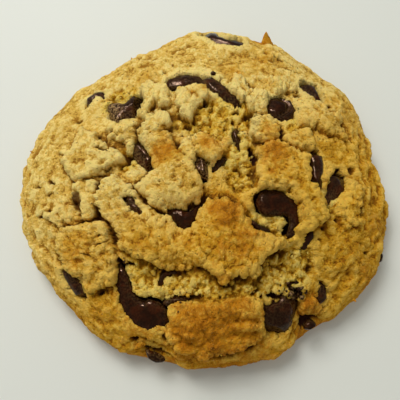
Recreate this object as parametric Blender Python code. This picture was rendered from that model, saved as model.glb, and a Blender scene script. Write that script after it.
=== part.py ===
"""A large, thick chocolate chip cookie.

One baked body of dough with a craggy, domed top, and chocolate pieces set in open pockets in it.
The origin is the middle of the flat underside, +Z is up and +Y runs to the back edge. Metres.
"""

import math
from dataclasses import dataclass

import bmesh
import bpy
import numpy as np
from mathutils import Matrix, Vector, noise
from mathutils.bvhtree import BVHTree

MM = 0.001
PART_NAME = "chocolate_chip_cookie"

# Driving dimensions of the dough
PLAN_RADIUS = 52.4 * MM  # mean radius of the widest line
RIM_HEIGHT = 6.2 * MM  # height of the widest line over the table
DOME_RISE = 15.2 * MM  # from the widest line up to the crown, before the crust plates
DOME_FULLNESS = 2.7  # how long the dome stays high before it falls to the rim
DOME_ROUNDING = 0.72  # how blunt the dome meets the rim
FOOT_INSET = 3.6 * MM  # how far the underside pulls in under the widest line
GRID_CELLS = 44  # mesh cells across the dough, from edge to edge over the top

# Chocolate sits in its pocket with this much air round it
POCKET_GAP = 0.3 * MM


@dataclass
class Lobe:
    """A swelling (or, with a negative rise, a flat) of the plan outline."""

    angle: float  # degrees, counter-clockwise from +X
    rise: float  # mm
    spread: float  # degrees


LOBES = [
    Lobe(33, 1.6, 9),
    Lobe(62, 1.4, 9),
    Lobe(83, 1.0, 7),
    Lobe(108, -1.4, 9),
    Lobe(127, -4.2, 17),
    Lobe(150, -1.0, 10),
    Lobe(180, 0.9, 13),
    Lobe(222, -1.6, 13),
    Lobe(275, -1.0, 22),
    Lobe(336, 2.3, 17),
    Lobe(368, -1.0, 6),
]


@dataclass
class Plate:
    """A raised, flat-topped crag of crust, or a torn hollow where the rise is negative."""

    x: float  # mm
    y: float  # mm
    long: float  # half length, mm
    wide: float  # half width, mm
    turn: float  # degrees
    rise: float  # mm


PLATES = [
    # crags of the middle
    Plate(-7, -2, 10, 8, 60, 3.0),
    Plate(-14, 10, 6, 4, 20, 2.1),
    Plate(1, 5, 6, 4.5, 10, 2.3),
    Plate(-15, -7, 6, 4.5, -30, 2.1),
    Plate(5, -20, 11, 7.5, -15, 3.1),
    Plate(-11, -22, 10, 6.5, -25, 2.3),
    Plate(-23, -15, 6, 4.5, 30, 1.8),
    Plate(15, -25, 7, 5, 25, 2.1),
    Plate(6, -12, 6, 4.5, 50, 1.6),
    # crags of the right
    Plate(23, -6, 9, 8, 70, 2.3),
    Plate(19, 1, 6, 4, 0, 1.8),
    Plate(34, -15, 8, 5, 80, 1.8),
    Plate(17, 10, 6.5, 5, 30, 2.1),
    Plate(29, 11, 7.5, 5.5, -20, 2.2),
    Plate(42, 3, 9, 5, 80, 1.7),
    # crags of the left
    Plate(-30, 5, 9, 7.5, 30, 2.2),
    Plate(-34, -9, 7.5, 5.5, 90, 1.8),
    Plate(-34, -23, 10, 8, 70, 2.0),
    Plate(-42, -3, 9, 4.5, 95, 1.3),
    # crags of the back
    Plate(-13, 20, 6, 5.5, 0, 2.3),
    Plate(-3, 20, 5.5, 4, 20, 2.0),
    Plate(11, 23, 6, 4, -10, 2.1),
    Plate(-16, 33, 12, 5, 25, 1.7),
    Plate(6, 35, 12, 5, -5, 1.8),
    Plate(25, 33, 9, 5, -35, 1.6),
    # crags of the front
    Plate(4, -40, 13, 6, -4, 2.9),
    Plate(-24, -40, 7, 5, -35, 1.8),
    Plate(18, -47, 7, 3, 15, 1.3),
    Plate(38, -29, 7, 5, 50, 1.6),
    # torn hollows
    Plate(24, -30, 10, 7, 10, -2.6),
    Plate(3, 12, 9, 5, 10, -1.6),
    Plate(-26, -4, 3, 8, 5, -1.6),
    Plate(-8, -32, 14, 4, 5, -1.7),
]

LUMP_SIZES = ((6.5, 1.1), (3.2, 0.7))  # width and height of the small crags all over, mm
PLATE_EDGE_WOBBLE = 2.4  # how far a plate's margin strays, mm
PLATE_STEEPNESS = 4  # a higher power stands the margin more upright


@dataclass
class Chip:
    """A chocolate morsel or a shard of one, lying in the dough."""

    name: str
    x: float  # mm
    y: float  # mm
    long: float  # half length, mm
    wide: float  # half width, mm
    deep: float  # half thickness, mm
    turn: float  # degrees, from +X
    bend: float = 0.0  # how far its ends curl aside, mm
    taper: float = 0.0  # how much narrower its +X end is, 0 to 1
    proud: float = 1.2  # how far it stands over the dough at its middle, mm
    tilt: float = 0.0  # degrees, its +X end lower


CHIPS = [
    Chip("chip_back_edge", 5.6, 45.0, 5.0, 2.4, 2.6, -14, bend=1.0, taper=0.3, proud=1.8),
    Chip("chip_upper_left", -5.5, 26.0, 5.2, 3.1, 2.8, 6, proud=2.0),
    Chip("chip_upper_shard", 5.6, 21.8, 6.3, 2.0, 2.6, -42, taper=0.2, proud=1.9),
    Chip("chip_whole", 22.6, 17.6, 4.0, 3.9, 3.6, 0, proud=2.3),
    Chip("chip_upper_right", 32.6, 25.6, 3.3, 3.0, 2.8, -30, proud=1.9),
    Chip("chip_crescent", -32.2, 23.2, 3.6, 1.4, 2.2, 58, bend=-2.0, proud=1.6),
    Chip("chip_left_broken", -22.4, 18.8, 4.4, 3.3, 3.0, 42, proud=1.9),
    Chip("chip_scratched", -16.2, 2.0, 4.2, 2.2, 2.6, -62, taper=0.2, proud=1.8),
    Chip("chip_left_sliver", -18.6, -12.6, 3.0, 1.7, 2.0, -30, taper=0.3, proud=1.6),
    Chip("chip_heart", -4.9, -15.2, 4.2, 3.6, 3.0, 8, taper=0.35, proud=1.7),
    Chip("chip_middle_shard", 0.0, -3.0, 3.2, 1.7, 2.4, 72, taper=0.3, proud=1.7),
    Chip("chip_middle_sliver", 4.3, -1.3, 2.6, 1.1, 2.0, 50, proud=1.6),
    Chip("chip_upright_sliver", 9.8, 7.0, 2.9, 1.2, 2.2, 82, proud=1.6),
    Chip("chip_melted", 18.2, -11.6, 4.8, 3.9, 3.2, 8, proud=2.0),
    Chip("chip_melted_tail", 23.2, -17.6, 4.4, 1.7, 2.4, -68, bend=1.6, taper=0.4, proud=1.7),
    Chip("chip_tall_right", 30.6, -2.2, 5.6, 2.1, 2.8, 82, taper=-0.3, proud=1.8),
    Chip("chip_dark_right", 36.0, -6.4, 4.9, 2.9, 2.8, 70, taper=0.2, proud=1.7),
    Chip("chip_comet_tail", -20.4, -29.8, 5.2, 2.1, 2.4, 100, taper=0.3, proud=1.7),
    Chip("chip_comet_head", -14.6, -39.8, 6.3, 3.9, 2.9, -12, taper=0.3, proud=1.9),
    Chip("chip_lower_left", -33.4, -31.2, 5.0, 2.6, 2.6, -50, proud=1.7),
    Chip("chip_front_large", 20.8, -40.6, 5.4, 4.7, 3.2, 20, proud=2.0),
    Chip("chip_front_sliver", 30.8, -33.4, 3.2, 1.7, 2.2, 84, proud=1.6),
    Chip("chip_front_dot", 28.4, -42.0, 1.7, 1.6, 2.0, 0, proud=1.5),
    Chip("chip_hollow_slit", 27.3, -21.2, 2.4, 1.2, 2.0, 66, proud=1.6),
    Chip("chip_right_edge", 50.0, -20.6, 3.8, 1.6, 2.2, 80, proud=1.5),
    Chip("chip_torn_arc", -9.5, -31.2, 2.6, 1.3, 2.0, -40, bend=1.0, proud=1.6),
    Chip("chip_torn_slit", -6.6, -36.2, 3.4, 1.2, 2.0, -4, proud=1.6),
    Chip("chip_front_left_edge", -12.8, -49.0, 3.4, 1.6, 2.2, -14, proud=1.6),
    Chip("chip_crevice", 15.2, -18.2, 2.6, 1.2, 2.0, -28, proud=1.5),
]

CHIP_ROUNDS = 2  # rounds of dividing that a chip's ball is made with
CHIP_ROUGHNESS = 0.22  # mm, how uneven a chip's surface is
DIMPLE_REACH = 1.7  # the dough dips round a chip out to this many times its half sizes
DIMPLE_DEPTH = 1.6 * MM


def collection(name):
    made = bpy.data.collections.new(name)
    bpy.context.scene.collection.children.link(made)
    return made


def principled(name, colour, roughness):
    material = bpy.data.materials.new(name)
    material.use_nodes = True
    shader = material.node_tree.nodes["Principled BSDF"]
    shader.inputs["Base Color"].default_value = (*colour, 1.0)
    shader.inputs["Roughness"].default_value = roughness
    shader.inputs["Metallic"].default_value = 0.0
    return material


def plan_radius(angle):
    """Radius of the widest line at an angle in radians: a circle with its lobes."""
    radius = PLAN_RADIUS
    for lobe in LOBES:
        away = (math.degrees(angle) - lobe.angle + 180) % 360 - 180
        radius += lobe.rise * MM * math.exp(-((away / lobe.spread) ** 2))
    return radius


def section_profile():
    """The section from the crown over the rim to the foot, as evenly spaced (share of radius, height)."""
    top = np.linspace(0, 1, 400)
    dome = RIM_HEIGHT + DOME_RISE * (1 - top**DOME_FULLNESS) ** DOME_ROUNDING
    under = np.linspace(0, math.pi / 2, 60)[1:]
    share = np.concatenate([top, 1 - FOOT_INSET / PLAN_RADIUS * (1 - np.cos(under))])
    height = np.concatenate([dome, RIM_HEIGHT * (1 - np.sin(under))])
    steps = np.hypot(np.diff(share) * PLAN_RADIUS, np.diff(height))
    along = np.concatenate([[0], np.cumsum(steps)])
    rings = GRID_CELLS // 2
    even = np.linspace(0, along[-1], rings + 1)
    return np.interp(even, along, share), np.interp(even, along, height)


def wobble(x, y, width, seed):
    """Smooth noise from -1 to 1 on the plan, whose bumps are about `width` mm across."""
    return noise.noise(Vector((x / width / MM, y / width / MM, seed)))


def within(x, y, middle_x, middle_y, long, wide, turn):
    """How far (x, y) lies from a turned ellipse's middle, as a share of its half sizes."""
    across = Vector((x - middle_x * MM, y - middle_y * MM))
    across.rotate(Matrix.Rotation(-math.radians(turn), 2))
    return math.hypot(across.x / (long * MM), across.y / (wide * MM))


def plate_rise(x, y):
    """Height of the crags: the highest plate at the point, less the hollows there."""
    stray = PLATE_EDGE_WOBBLE * MM
    x_strayed = x + stray * wobble(x, y, 5.0, 3.1)
    y_strayed = y + stray * wobble(x, y, 5.0, 7.7)
    highest = 0.0
    deepest = 0.0
    for plate in PLATES:
        share = within(x_strayed, y_strayed, plate.x, plate.y, plate.long, plate.wide, plate.turn)
        if share < 1:
            level = plate.rise * (1 - share**PLATE_STEEPNESS) ** 0.5
            highest = max(highest, level)
            deepest = min(deepest, level)
    return (highest + deepest) * MM


def dimple(x, y):
    """The dip of the dough round the chips."""
    deepest = 0.0
    for chip in CHIPS:
        share = within(x, y, chip.x, chip.y, chip.long + 1.0, chip.wide + 1.0, chip.turn)
        if share < DIMPLE_REACH:
            deepest = max(deepest, 0.5 + 0.5 * math.cos(math.pi * share / DIMPLE_REACH))
    return -DIMPLE_DEPTH * deepest


def relief(x, y):
    """How far the baked surface stands off the smooth loaf at a plan position."""
    lumps = sum(high * MM * wobble(x, y, width, 11.0 + width) for width, high in LUMP_SIZES)
    return plate_rise(x, y) + lumps + dimple(x, y)


def disc_point(u, v):
    """A grid point of the square from -1 to 1 as (ring, angle) on the disc, ring by ring."""
    ring = max(abs(u), abs(v))
    if ring == 0:
        return 0.0, 0.0
    if abs(u) >= abs(v):
        angle = math.pi / 4 * v / u
        return ring, angle if u > 0 else angle + math.pi
    return ring, (math.pi / 2 if v > 0 else -math.pi / 2) - math.pi / 4 * u / v


def make_dough(parts, material):
    """A square grid drawn over the loaf, from the crown round the rim to the foot, shut below."""
    shares, heights = section_profile()
    shape = bmesh.new()
    bmesh.ops.create_grid(shape, x_segments=GRID_CELLS, y_segments=GRID_CELLS, size=1.0)
    for vertex in shape.verts:
        ring, angle = disc_point(vertex.co.x, vertex.co.y)
        step = round(ring * (GRID_CELLS // 2))
        radius = shares[step] * plan_radius(angle)
        height = heights[step]
        x = radius * math.cos(angle)
        y = radius * math.sin(angle)
        before, after = max(step - 1, 0), min(step + 1, len(shares) - 1)
        slope = Vector((heights[before] - heights[after], (shares[after] - shares[before]) * PLAN_RADIUS))
        slope.normalize()
        held = min(1.0, height / RIM_HEIGHT) ** 2
        off = relief(x, y) * held
        x += off * slope.x * math.cos(angle)
        y += off * slope.x * math.sin(angle)
        vertex.co = (x, y, height + off * slope.y)
    foot = [edge for edge in shape.edges if edge.is_boundary]
    bmesh.ops.contextual_create(shape, geom=foot)
    bmesh.ops.recalc_face_normals(shape, faces=shape.faces)
    centre_on_origin(shape)
    return finish(shape, "dough", parts, material)


def centre_on_origin(shape):
    """Slide the body so that the middle of its plan box is over the origin."""
    xs = [vertex.co.x for vertex in shape.verts]
    ys = [vertex.co.y for vertex in shape.verts]
    middle = Vector((max(xs) + min(xs), max(ys) + min(ys), 0)) / 2
    bmesh.ops.translate(shape, verts=shape.verts, vec=-middle)


def finish(shape, name, parts, material):
    mesh = bpy.data.meshes.new(name)
    shape.to_mesh(mesh)
    shape.free()
    mesh.shade_smooth()
    mesh.set_sharp_from_angle(angle=math.radians(50))
    made = bpy.data.objects.new(name, mesh)
    made.data.materials.append(material)
    parts.objects.link(made)
    return made


def chip_shape(chip, grown, seed):
    """A ball stretched to the chip's half sizes, tapered, bent sideways and made uneven."""
    shape = bmesh.new()
    bmesh.ops.create_icosphere(shape, subdivisions=CHIP_ROUNDS, radius=1.0)
    for vertex in shape.verts:
        ball = vertex.co.copy()
        uneven = CHIP_ROUGHNESS * noise.noise(ball * 1.4 + Vector((seed * 3.7, 0, 0)))
        narrowed = 1 - chip.taper * (ball.x + 1) / 2
        x = ball.x * (chip.long + grown + uneven)
        y = ball.y * (chip.wide * narrowed + grown + uneven) + chip.bend * ball.x**2
        z = ball.z * (chip.deep * (1 - chip.taper / 3 * (ball.x + 1) / 2) + grown + uneven)
        vertex.co = Vector((x, y, z)) * MM
    return shape


def chip_place(chip, surface):
    """The chip's frame: its middle on the dough's surface, its +Z along the surface's normal."""
    above = Vector((chip.x, chip.y, 60)) * MM
    point, _, _, _ = surface.ray_cast(above, Vector((0, 0, -1)))
    outward = Vector((chip.x, chip.y, 0)).normalized()
    reach = math.hypot(chip.x, chip.y) * MM / plan_radius(math.atan2(chip.y, chip.x))
    lean = math.radians(70) * max(0.0, min(1.0, reach)) ** 6
    up = Vector((0, 0, math.cos(lean))) + outward * math.sin(lean)
    along = Vector((math.cos(math.radians(chip.turn)), math.sin(math.radians(chip.turn)), 0))
    along = (along - up * along.dot(up)).normalized()
    aside = up.cross(along)
    turned = Matrix((along, aside, up)).transposed().to_4x4()
    middle = point + up * (chip.proud - chip.deep) * MM
    return Matrix.Translation(middle) @ turned @ Matrix.Rotation(math.radians(chip.tilt), 4, "Y")


def make_chips(parts, cutters, dough, material):
    """Each chip, and the cutter that opens its pocket in the dough."""
    shape = bmesh.new()
    shape.from_mesh(dough.data)
    surface = BVHTree.FromBMesh(shape)
    shape.free()
    for seed, chip in enumerate(CHIPS):
        place = chip_place(chip, surface)
        made = finish(chip_shape(chip, 0.0, seed), chip.name, parts, material)
        made.matrix_world = place
        cutter = finish(chip_shape(chip, POCKET_GAP / MM, seed), "cut_" + chip.name, cutters, material)
        cutter.matrix_world = place
        cutter.hide_render = True
        cutter.display_type = "WIRE"
        pocket = dough.modifiers.new("pocket_" + chip.name, "BOOLEAN")
        pocket.operation = "DIFFERENCE"
        pocket.solver = "EXACT"
        pocket.object = cutter


def main():
    for item in list(bpy.data.objects):
        bpy.data.objects.remove(item, do_unlink=True)
    parts = collection(PART_NAME)
    cutters = collection(PART_NAME + "_cutters")
    crust = principled("baked_dough", (0.72, 0.50, 0.19), 0.8)
    chocolate = principled("chocolate", (0.035, 0.011, 0.006), 0.3)
    dough = make_dough(parts, crust)
    make_chips(parts, cutters, dough, chocolate)


main()
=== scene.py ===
import math

import bpy
import numpy as np
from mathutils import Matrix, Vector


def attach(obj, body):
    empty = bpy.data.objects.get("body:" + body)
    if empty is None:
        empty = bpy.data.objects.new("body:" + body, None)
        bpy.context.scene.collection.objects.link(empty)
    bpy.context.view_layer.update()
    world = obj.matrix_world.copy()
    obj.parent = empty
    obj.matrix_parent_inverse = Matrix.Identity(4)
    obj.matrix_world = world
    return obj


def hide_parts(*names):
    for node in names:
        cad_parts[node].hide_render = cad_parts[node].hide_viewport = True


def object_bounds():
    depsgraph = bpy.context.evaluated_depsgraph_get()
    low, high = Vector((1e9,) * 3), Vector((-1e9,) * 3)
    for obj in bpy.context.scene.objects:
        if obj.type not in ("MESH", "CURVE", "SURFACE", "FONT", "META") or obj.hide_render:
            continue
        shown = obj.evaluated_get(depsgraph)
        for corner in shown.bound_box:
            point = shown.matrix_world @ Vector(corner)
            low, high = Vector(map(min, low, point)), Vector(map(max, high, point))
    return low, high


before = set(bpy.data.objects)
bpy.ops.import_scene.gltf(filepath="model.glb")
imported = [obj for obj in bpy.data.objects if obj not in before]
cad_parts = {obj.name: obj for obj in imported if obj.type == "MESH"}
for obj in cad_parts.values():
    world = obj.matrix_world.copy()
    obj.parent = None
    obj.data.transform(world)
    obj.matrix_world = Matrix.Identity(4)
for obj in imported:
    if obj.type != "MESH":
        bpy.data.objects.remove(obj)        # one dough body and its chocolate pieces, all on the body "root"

cadLow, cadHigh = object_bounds()
mm = 0.001
print("frame loaded,", len(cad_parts), "nodes")


def ease(low, high, x):
    # 0 below low, 1 above high, 3t^2-2t^3 between
    t = np.clip((x - low) / (high - low), 0, 1)
    return t * t * (3 - 2 * t)


def cornerNumber(i, j, k, seed):
    # three whole numbers and a seed, multiplied by primes and bit-mixed into a number from 0 to 1
    h = (i * 73856093) ^ (j * 19349663) ^ (k * 83492791) ^ (seed * 15485863)
    h = ((h ^ (h >> 13)) & 0x7fffffff) * 1274126177 & 0x7fffffff
    h = ((h ^ (h >> 16)) * 1911520717) & 0x7fffffff
    return (h ^ (h >> 15)) / 0x7fffffff


def swell(p, width, seed):
    # gradient noise, about -1 to 1: a random slope at each lattice corner, blended by 6t^5-15t^4+10t^3
    q = p / width
    cell = np.floor(q).astype(np.int64)
    f = q - cell
    fade = f * f * f * (f * (f * 6 - 15) + 10)
    total = 0
    for dx, dy, dz in np.ndindex(2, 2, 2):
        i, j, k = cell[..., 0] + dx, cell[..., 1] + dy, cell[..., 2] + dz
        turn = cornerNumber(i, j, k, seed) * 2 * math.pi
        rise = cornerNumber(i, j, k, seed + 101) * 2 - 1
        flat = np.sqrt(1 - rise * rise)
        along = (np.cos(turn) * flat * (f[..., 0] - dx) + np.sin(turn) * flat * (f[..., 1] - dy)
                 + rise * (f[..., 2] - dz))
        share = (np.where(dx, fade[..., 0], 1 - fade[..., 0]) * np.where(dy, fade[..., 1], 1 - fade[..., 1])
                 * np.where(dz, fade[..., 2], 1 - fade[..., 2]))
        total = total + along * share
    return total * 1.7


def rough(p, width, seed, octaves=3, gain=0.5):
    # swells added at halving widths, each `gain` times as high as the one before
    total = 0
    for step in range(octaves):
        total = total + swell(p, width / 2 ** step, seed + 7 * step) * gain ** step
    return total


def grains(p, width, seed):
    # cell noise, with one random point per cell: distances to the nearest point and to the second, and a
    # number from 0 to 1 that belongs to the nearest
    q = p / width
    cell = np.floor(q).astype(np.int64)
    first = np.full(q.shape[:-1], 9.0)
    second = first.copy()
    number = np.zeros_like(first)
    for shift in np.ndindex(3, 3, 3):
        i, j, k = (cell[..., axis] + shift[axis] - 1 for axis in range(3))
        away = np.sqrt((q[..., 0] - i - cornerNumber(i, j, k, seed)) ** 2
                       + (q[..., 1] - j - cornerNumber(i, j, k, seed + 31)) ** 2
                       + (q[..., 2] - k - cornerNumber(i, j, k, seed + 67)) ** 2)
        number = np.where(away < first, cornerNumber(i, j, k, seed + 97), number)
        second = np.minimum(second, np.maximum(first, away))
        first = np.minimum(first, away)
    return first, second, number


def insideBy(x, y, outline):
    # how far inside a closed outline a point lies, negative outside: least distance to its sides, signed by
    # counting the sides that a line from the point crosses
    least = np.full(x.shape, 1e9)
    inside = np.zeros(x.shape, bool)
    for (ax, ay), (bx, by) in zip(outline, outline[1:] + outline[:1]):
        ex, ey = bx - ax, by - ay
        t = np.clip(((x - ax) * ex + (y - ay) * ey) / (ex * ex + ey * ey), 0, 1)
        least = np.minimum(least, (x - ax - t * ex) ** 2 + (y - ay - t * ey) ** 2)
        if ey:
            inside ^= ((ay > y) != (by > y)) & (x < ax + (y - ay) * ex / ey)
    return np.where(inside, 1, -1) * np.sqrt(least)


def ovalShare(x, y, spot):
    # distance from a turned oval's middle as a share of its half sizes; spot is x, y, long, wide, turn in
    # degrees
    a = math.radians(spot[4])
    across, aside = x - spot[0], y - spot[1]
    return np.hypot((across * math.cos(a) + aside * math.sin(a)) / spot[2],
                    (aside * math.cos(a) - across * math.sin(a)) / spot[3])


def gridFaces(rows, columns, closed=False):
    # corner numbers of the quads of a rows by columns grid, its columns joined round if closed
    r = np.arange(rows - 1)[:, None]
    c = np.arange(columns if closed else columns - 1)[None, :]
    n = (c + 1) % columns
    here, above = r * columns, (r + 1) * columns
    return np.stack([here + c, here + n, above + n, above + c], -1).reshape(-1, 4)


def makePiece(name, points, faceSets, material):
    # one mesh from an array of points and arrays of faces with three or four corners
    mesh = bpy.data.meshes.new(name)
    corners = np.concatenate([f.ravel() for f in faceSets]).astype(np.int32)
    counts = np.concatenate([np.full(len(f), f.shape[1]) for f in faceSets]).astype(np.int32)
    mesh.vertices.add(len(points))
    mesh.vertices.foreach_set("co", points.astype(np.float32).ravel())
    mesh.loops.add(len(corners))
    mesh.loops.foreach_set("vertex_index", corners)
    mesh.polygons.add(len(counts))
    mesh.polygons.foreach_set("loop_start", np.concatenate([[0], np.cumsum(counts)[:-1]]).astype(np.int32))
    mesh.polygons.foreach_set("loop_total", counts)
    mesh.polygons.foreach_set("use_smooth", np.full(len(counts), True))
    mesh.update(calc_edges=True)
    mesh.validate()
    mesh.materials.append(material)
    piece = bpy.data.objects.new(name, mesh)
    bpy.context.scene.collection.objects.link(piece)
    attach(piece, "root")
    return piece


def paint(piece, name, values):
    # a number at each vertex that the material reads by name
    layer = piece.data.attributes.new(name, "FLOAT", "POINT")
    layer.data.foreach_set("value", values.astype(np.float32).ravel())


class Shade:
    # wraps a socket, so that shader maths reads as an expression
    def __init__(self, graph, socket):
        self.graph, self.socket = graph, socket

    def __add__(self, other):
        return self.graph.maths("ADD", self, other)

    def __sub__(self, other):
        return self.graph.maths("SUBTRACT", self, other)

    def __mul__(self, other):
        return self.graph.maths("MULTIPLY", self, other)

    def __radd__(self, other):
        return self.graph.maths("ADD", other, self)

    def __rsub__(self, other):
        return self.graph.maths("SUBTRACT", other, self)

    def __rmul__(self, other):
        return self.graph.maths("MULTIPLY", other, self)


class Graph:
    # a material's nodes
    def __init__(self, name):
        self.material = bpy.data.materials.new(name)
        self.material.use_nodes = True
        self.tree = self.material.node_tree
        self.tree.nodes.clear()

    def node(self, kind, settings=None, sockets=None):
        # any node: its settings first, then the values or links of its sockets
        made = self.tree.nodes.new(kind)
        for key, value in (settings or {}).items():
            setattr(made, key, value)
        for key, value in (sockets or {}).items():
            if isinstance(value, Shade):
                self.tree.links.new(value.socket, made.inputs[key])
            else:
                made.inputs[key].default_value = value
        return made

    def out(self, made, key=0):
        return Shade(self, made.outputs[key])

    def maths(self, operation, a, b, clamp=False):
        settings = {"operation": operation, "use_clamp": clamp}
        return self.out(self.node("ShaderNodeMath", settings, {0: a, 1: b}))

    def clamp(self, value):
        return self.maths("ADD", value, 0.0, True)

    def span(self, low, high, value):
        # 0 at low, 1 at high, eased between
        return self.out(self.node("ShaderNodeMapRange", {"interpolation_type": "SMOOTHSTEP"},
                                  {"Value": value, "From Min": low, "From Max": high}))

    def mix(self, share, a, b):
        # colour a where share is 0, colour b where it is 1
        a = (*a, 1) if isinstance(a, tuple) else a
        b = (*b, 1) if isinstance(b, tuple) else b
        return self.out(self.node("ShaderNodeMix", {"data_type": "RGBA"}, {0: share, 6: a, 7: b}), 2)

    def place(self):
        return self.out(self.node("ShaderNodeTexCoord"), "Object")

    def noise(self, place, width, detail=2.0, roughness=0.5, distortion=0.0):
        # Blender's noise with bumps `width` mm wide
        return self.out(self.node("ShaderNodeTexNoise", None,
                                  {"Vector": place, "Scale": 1 / (width * mm), "Detail": detail,
                                   "Roughness": roughness, "Distortion": distortion}))

    def cells(self, place, width):
        # distance to the nearest point of cells `width` mm wide
        return self.out(self.node("ShaderNodeTexVoronoi", None, {"Vector": place, "Scale": 1 / (width * mm)}))

    def painted(self, name):
        return self.out(self.node("ShaderNodeAttribute", {"attribute_name": name}), "Fac")

    def bump(self, height, distance):
        return self.out(self.node("ShaderNodeBump", None, {"Height": height, "Distance": distance}))

    def finish(self, sockets):
        shader = self.node("ShaderNodeBsdfPrincipled", None, sockets)
        self.node("ShaderNodeOutputMaterial", None, {"Surface": self.out(shader)})
        return self.material


def sRgb(red, green, blue):
    # a colour as seen, 0 to 255 a channel, turned into the light's own scale
    seen = np.array([red, green, blue]) / 255
    return tuple(float(v) for v in np.where(seen <= 0.04045, seen / 12.92, ((seen + 0.055) / 1.055) ** 2.4))


doughLook = {
    # pale, middle and dark of the crust at the back left, and of the browner crust at the front right
    "pale": sRgb(254, 224, 134), "tan": sRgb(230, 186, 84), "olive": sRgb(172, 122, 38),
    "goldPale": sRgb(240, 190, 74), "gold": sRgb(210, 152, 32), "goldDeep": sRgb(158, 98, 12),
    "toast": sRgb(206, 132, 22), "brown": sRgb(148, 84, 2), "dusting": sRgb(222, 170, 76),
    "crumb": sRgb(246, 212, 106), "crumbTan": sRgb(222, 174, 54), "crumbDeep": sRgb(174, 118, 16),
    # painted shade of dips, gaps and pores; chocolate stain, which beside the chips is partly painted shade
    "hollow": sRgb(84, 46, 6), "stainAndShade": sRgb(52, 22, 10),
    # widths of its noises in mm
    "mottle": 2.1, "speck": 0.62, "drift": 9, "patch": 3.4, "crumbs": 1.5, "fine": 0.3, "dent": 1.2,
    "pore": 1.3, "poreGroups": 4,
    # shares of mottle, speck, drift and height (painted light: raised spots paler) in the crust's tone, and
    # the tones that turn pale and olive
    "toneShares": (0.54, 0.32, 0.14, 0.10), "paleTone": (0.485, 0.59), "oliveTone": (0.475, 0.39),
    # shares of crumbs, speck and height (painted light: raised spots paler) in the torn crumb's tone, and the
    # tones that turn pale and deep
    "crumbShares": (0.75, 0.25, 0.12), "crumbPale": (0.50, 0.62), "crumbDark": (0.48, 0.38),
    # how unevenly it browns, and the heats at which it turns gold, toasted and brown
    "patchHeat": 1.7, "speckHeat": 1.1, "goldHeat": (0.05, 0.45), "toastHeat": (0.30, 0.90),
    "brownHeat": (0.65, 1.35),
    "roughness": 0.82, "toastGloss": 0.18, "bump": 0.00065,
    "shine": 0.06, "glow": 0.08, "glowColours": (1.0, 0.5, 0.15), "glowDepth": 0.0010,
}


def makeDoughLook():
    # crust, browned by heat, then torn crumb, painted shade in hollows and pores, and chocolate stains with
    # painted shade beside the chips, laid over each other
    g = Graph("bakedDough")
    at = g.place()
    look = doughLook
    names = ("toasted", "torn", "hollow", "stainAndShade", "golden", "standing")
    toasted, torn, hollow, stainAndShade, golden, standing = (g.painted(name) for name in names)
    mottle = g.noise(at, look["mottle"], 4, 0.62, 0.5)
    speck = g.noise(at, look["speck"], 3, 0.65)
    drift = g.noise(at, look["drift"], 2, 0.5)
    shares = look["toneShares"]
    # standing is painted light on the dough: what stands up turns paler, what lies low darker
    tone = mottle * shares[0] + speck * shares[1] + drift * shares[2] + standing * shares[3]
    light, dark = g.span(*look["paleTone"], tone), g.span(*look["oliveTone"], tone)
    crust = g.mix(dark, g.mix(light, look["tan"], look["pale"]), look["olive"])
    browner = g.mix(dark, g.mix(light, look["gold"], look["goldPale"]), look["goldDeep"])
    crust = g.mix(golden, crust, browner)

    patchy = g.noise(at, look["patch"], 4, 0.7, 0.8)
    uneven = (patchy - 0.5) * look["patchHeat"] + (speck - 0.5) * look["speckHeat"]
    heat = toasted + uneven * g.span(0.03, 0.35, toasted)
    crust = g.mix(g.span(*look["goldHeat"], heat) * 0.8, crust, browner)
    crust = g.mix(g.span(*look["toastHeat"], heat) * 0.9, crust, look["toast"])
    crust = g.mix(g.span(*look["brownHeat"], heat), crust, look["brown"])
    crust = g.mix(g.span(0.58, 0.70, speck) * g.span(0.1, 0.5, toasted) * 0.7, crust, look["dusting"])

    shares = look["crumbShares"]
    # standing is painted light on the dough here too: raised crumb paler, low crumb darker
    tone = g.noise(at, look["crumbs"], 4, 0.66) * shares[0] + speck * shares[1] + standing * shares[2]
    crumb = g.mix(g.span(*look["crumbPale"], tone), look["crumbTan"], look["crumb"])
    crumb = g.mix(g.span(*look["crumbDark"], tone), crumb, look["crumbDeep"])
    colour = g.mix(torn, crust, crumb)

    # painted shade: the hollow colour darkens the dips and the gaps
    ragged = (speck - 0.5) * 0.25 * g.span(0.0, 0.2, hollow)
    colour = g.mix(g.span(0.05, 1.0, hollow + ragged), colour, look["hollow"])
    # painted shade: dark dots in the hollow colour stand for the shade inside tiny pores
    pore = g.cells(at, look["pore"])
    dot = g.span(0.20, 0.10, pore) * g.span(0.50, 0.6, g.noise(at, look["poreGroups"], 1))
    colour = g.mix(dot * 0.6, colour, look["hollow"])
    # chocolate stain in the gaps, and chocolate smear that is partly painted shade beside and under the chips
    ragged = (speck - 0.5) * 0.5 * g.span(0.0, 0.3, stainAndShade)
    colour = g.mix(g.span(0.25, 0.75, stainAndShade + ragged), colour, look["stainAndShade"])

    fine = g.noise(at, look["fine"], 2, 0.6)
    height = (speck * 1.0 + fine * 0.3 + g.span(0.0, 0.3, pore) * 0.4
              + g.noise(at, look["dent"], 2, 0.5) * 0.8)
    return g.finish({"Base Color": colour,
                     "Roughness": look["roughness"] - toasted * look["toastGloss"] + (fine - 0.5) * 0.1,
                     "Normal": g.bump(height, look["bump"]), "Specular IOR Level": look["shine"],
                     "Subsurface Weight": look["glow"], "Subsurface Radius": look["glowColours"],
                     "Subsurface Scale": look["glowDepth"]})


chocolateLook = {
    "dark": sRgb(28, 8, 2), "light": sRgb(60, 22, 5), "dust": sRgb(176, 140, 84),
    "cloud": 2.6, "bloom": 0.8, "dusting": 0.55, "dent": 2.0,      # mm, widths of its noises
    "sheen": (1.0, 0.62, 0.42), "shine": 0.2, "roughness": 0.19, "dustRoughness": 0.35, "bump": 0.00008,
}


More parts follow.
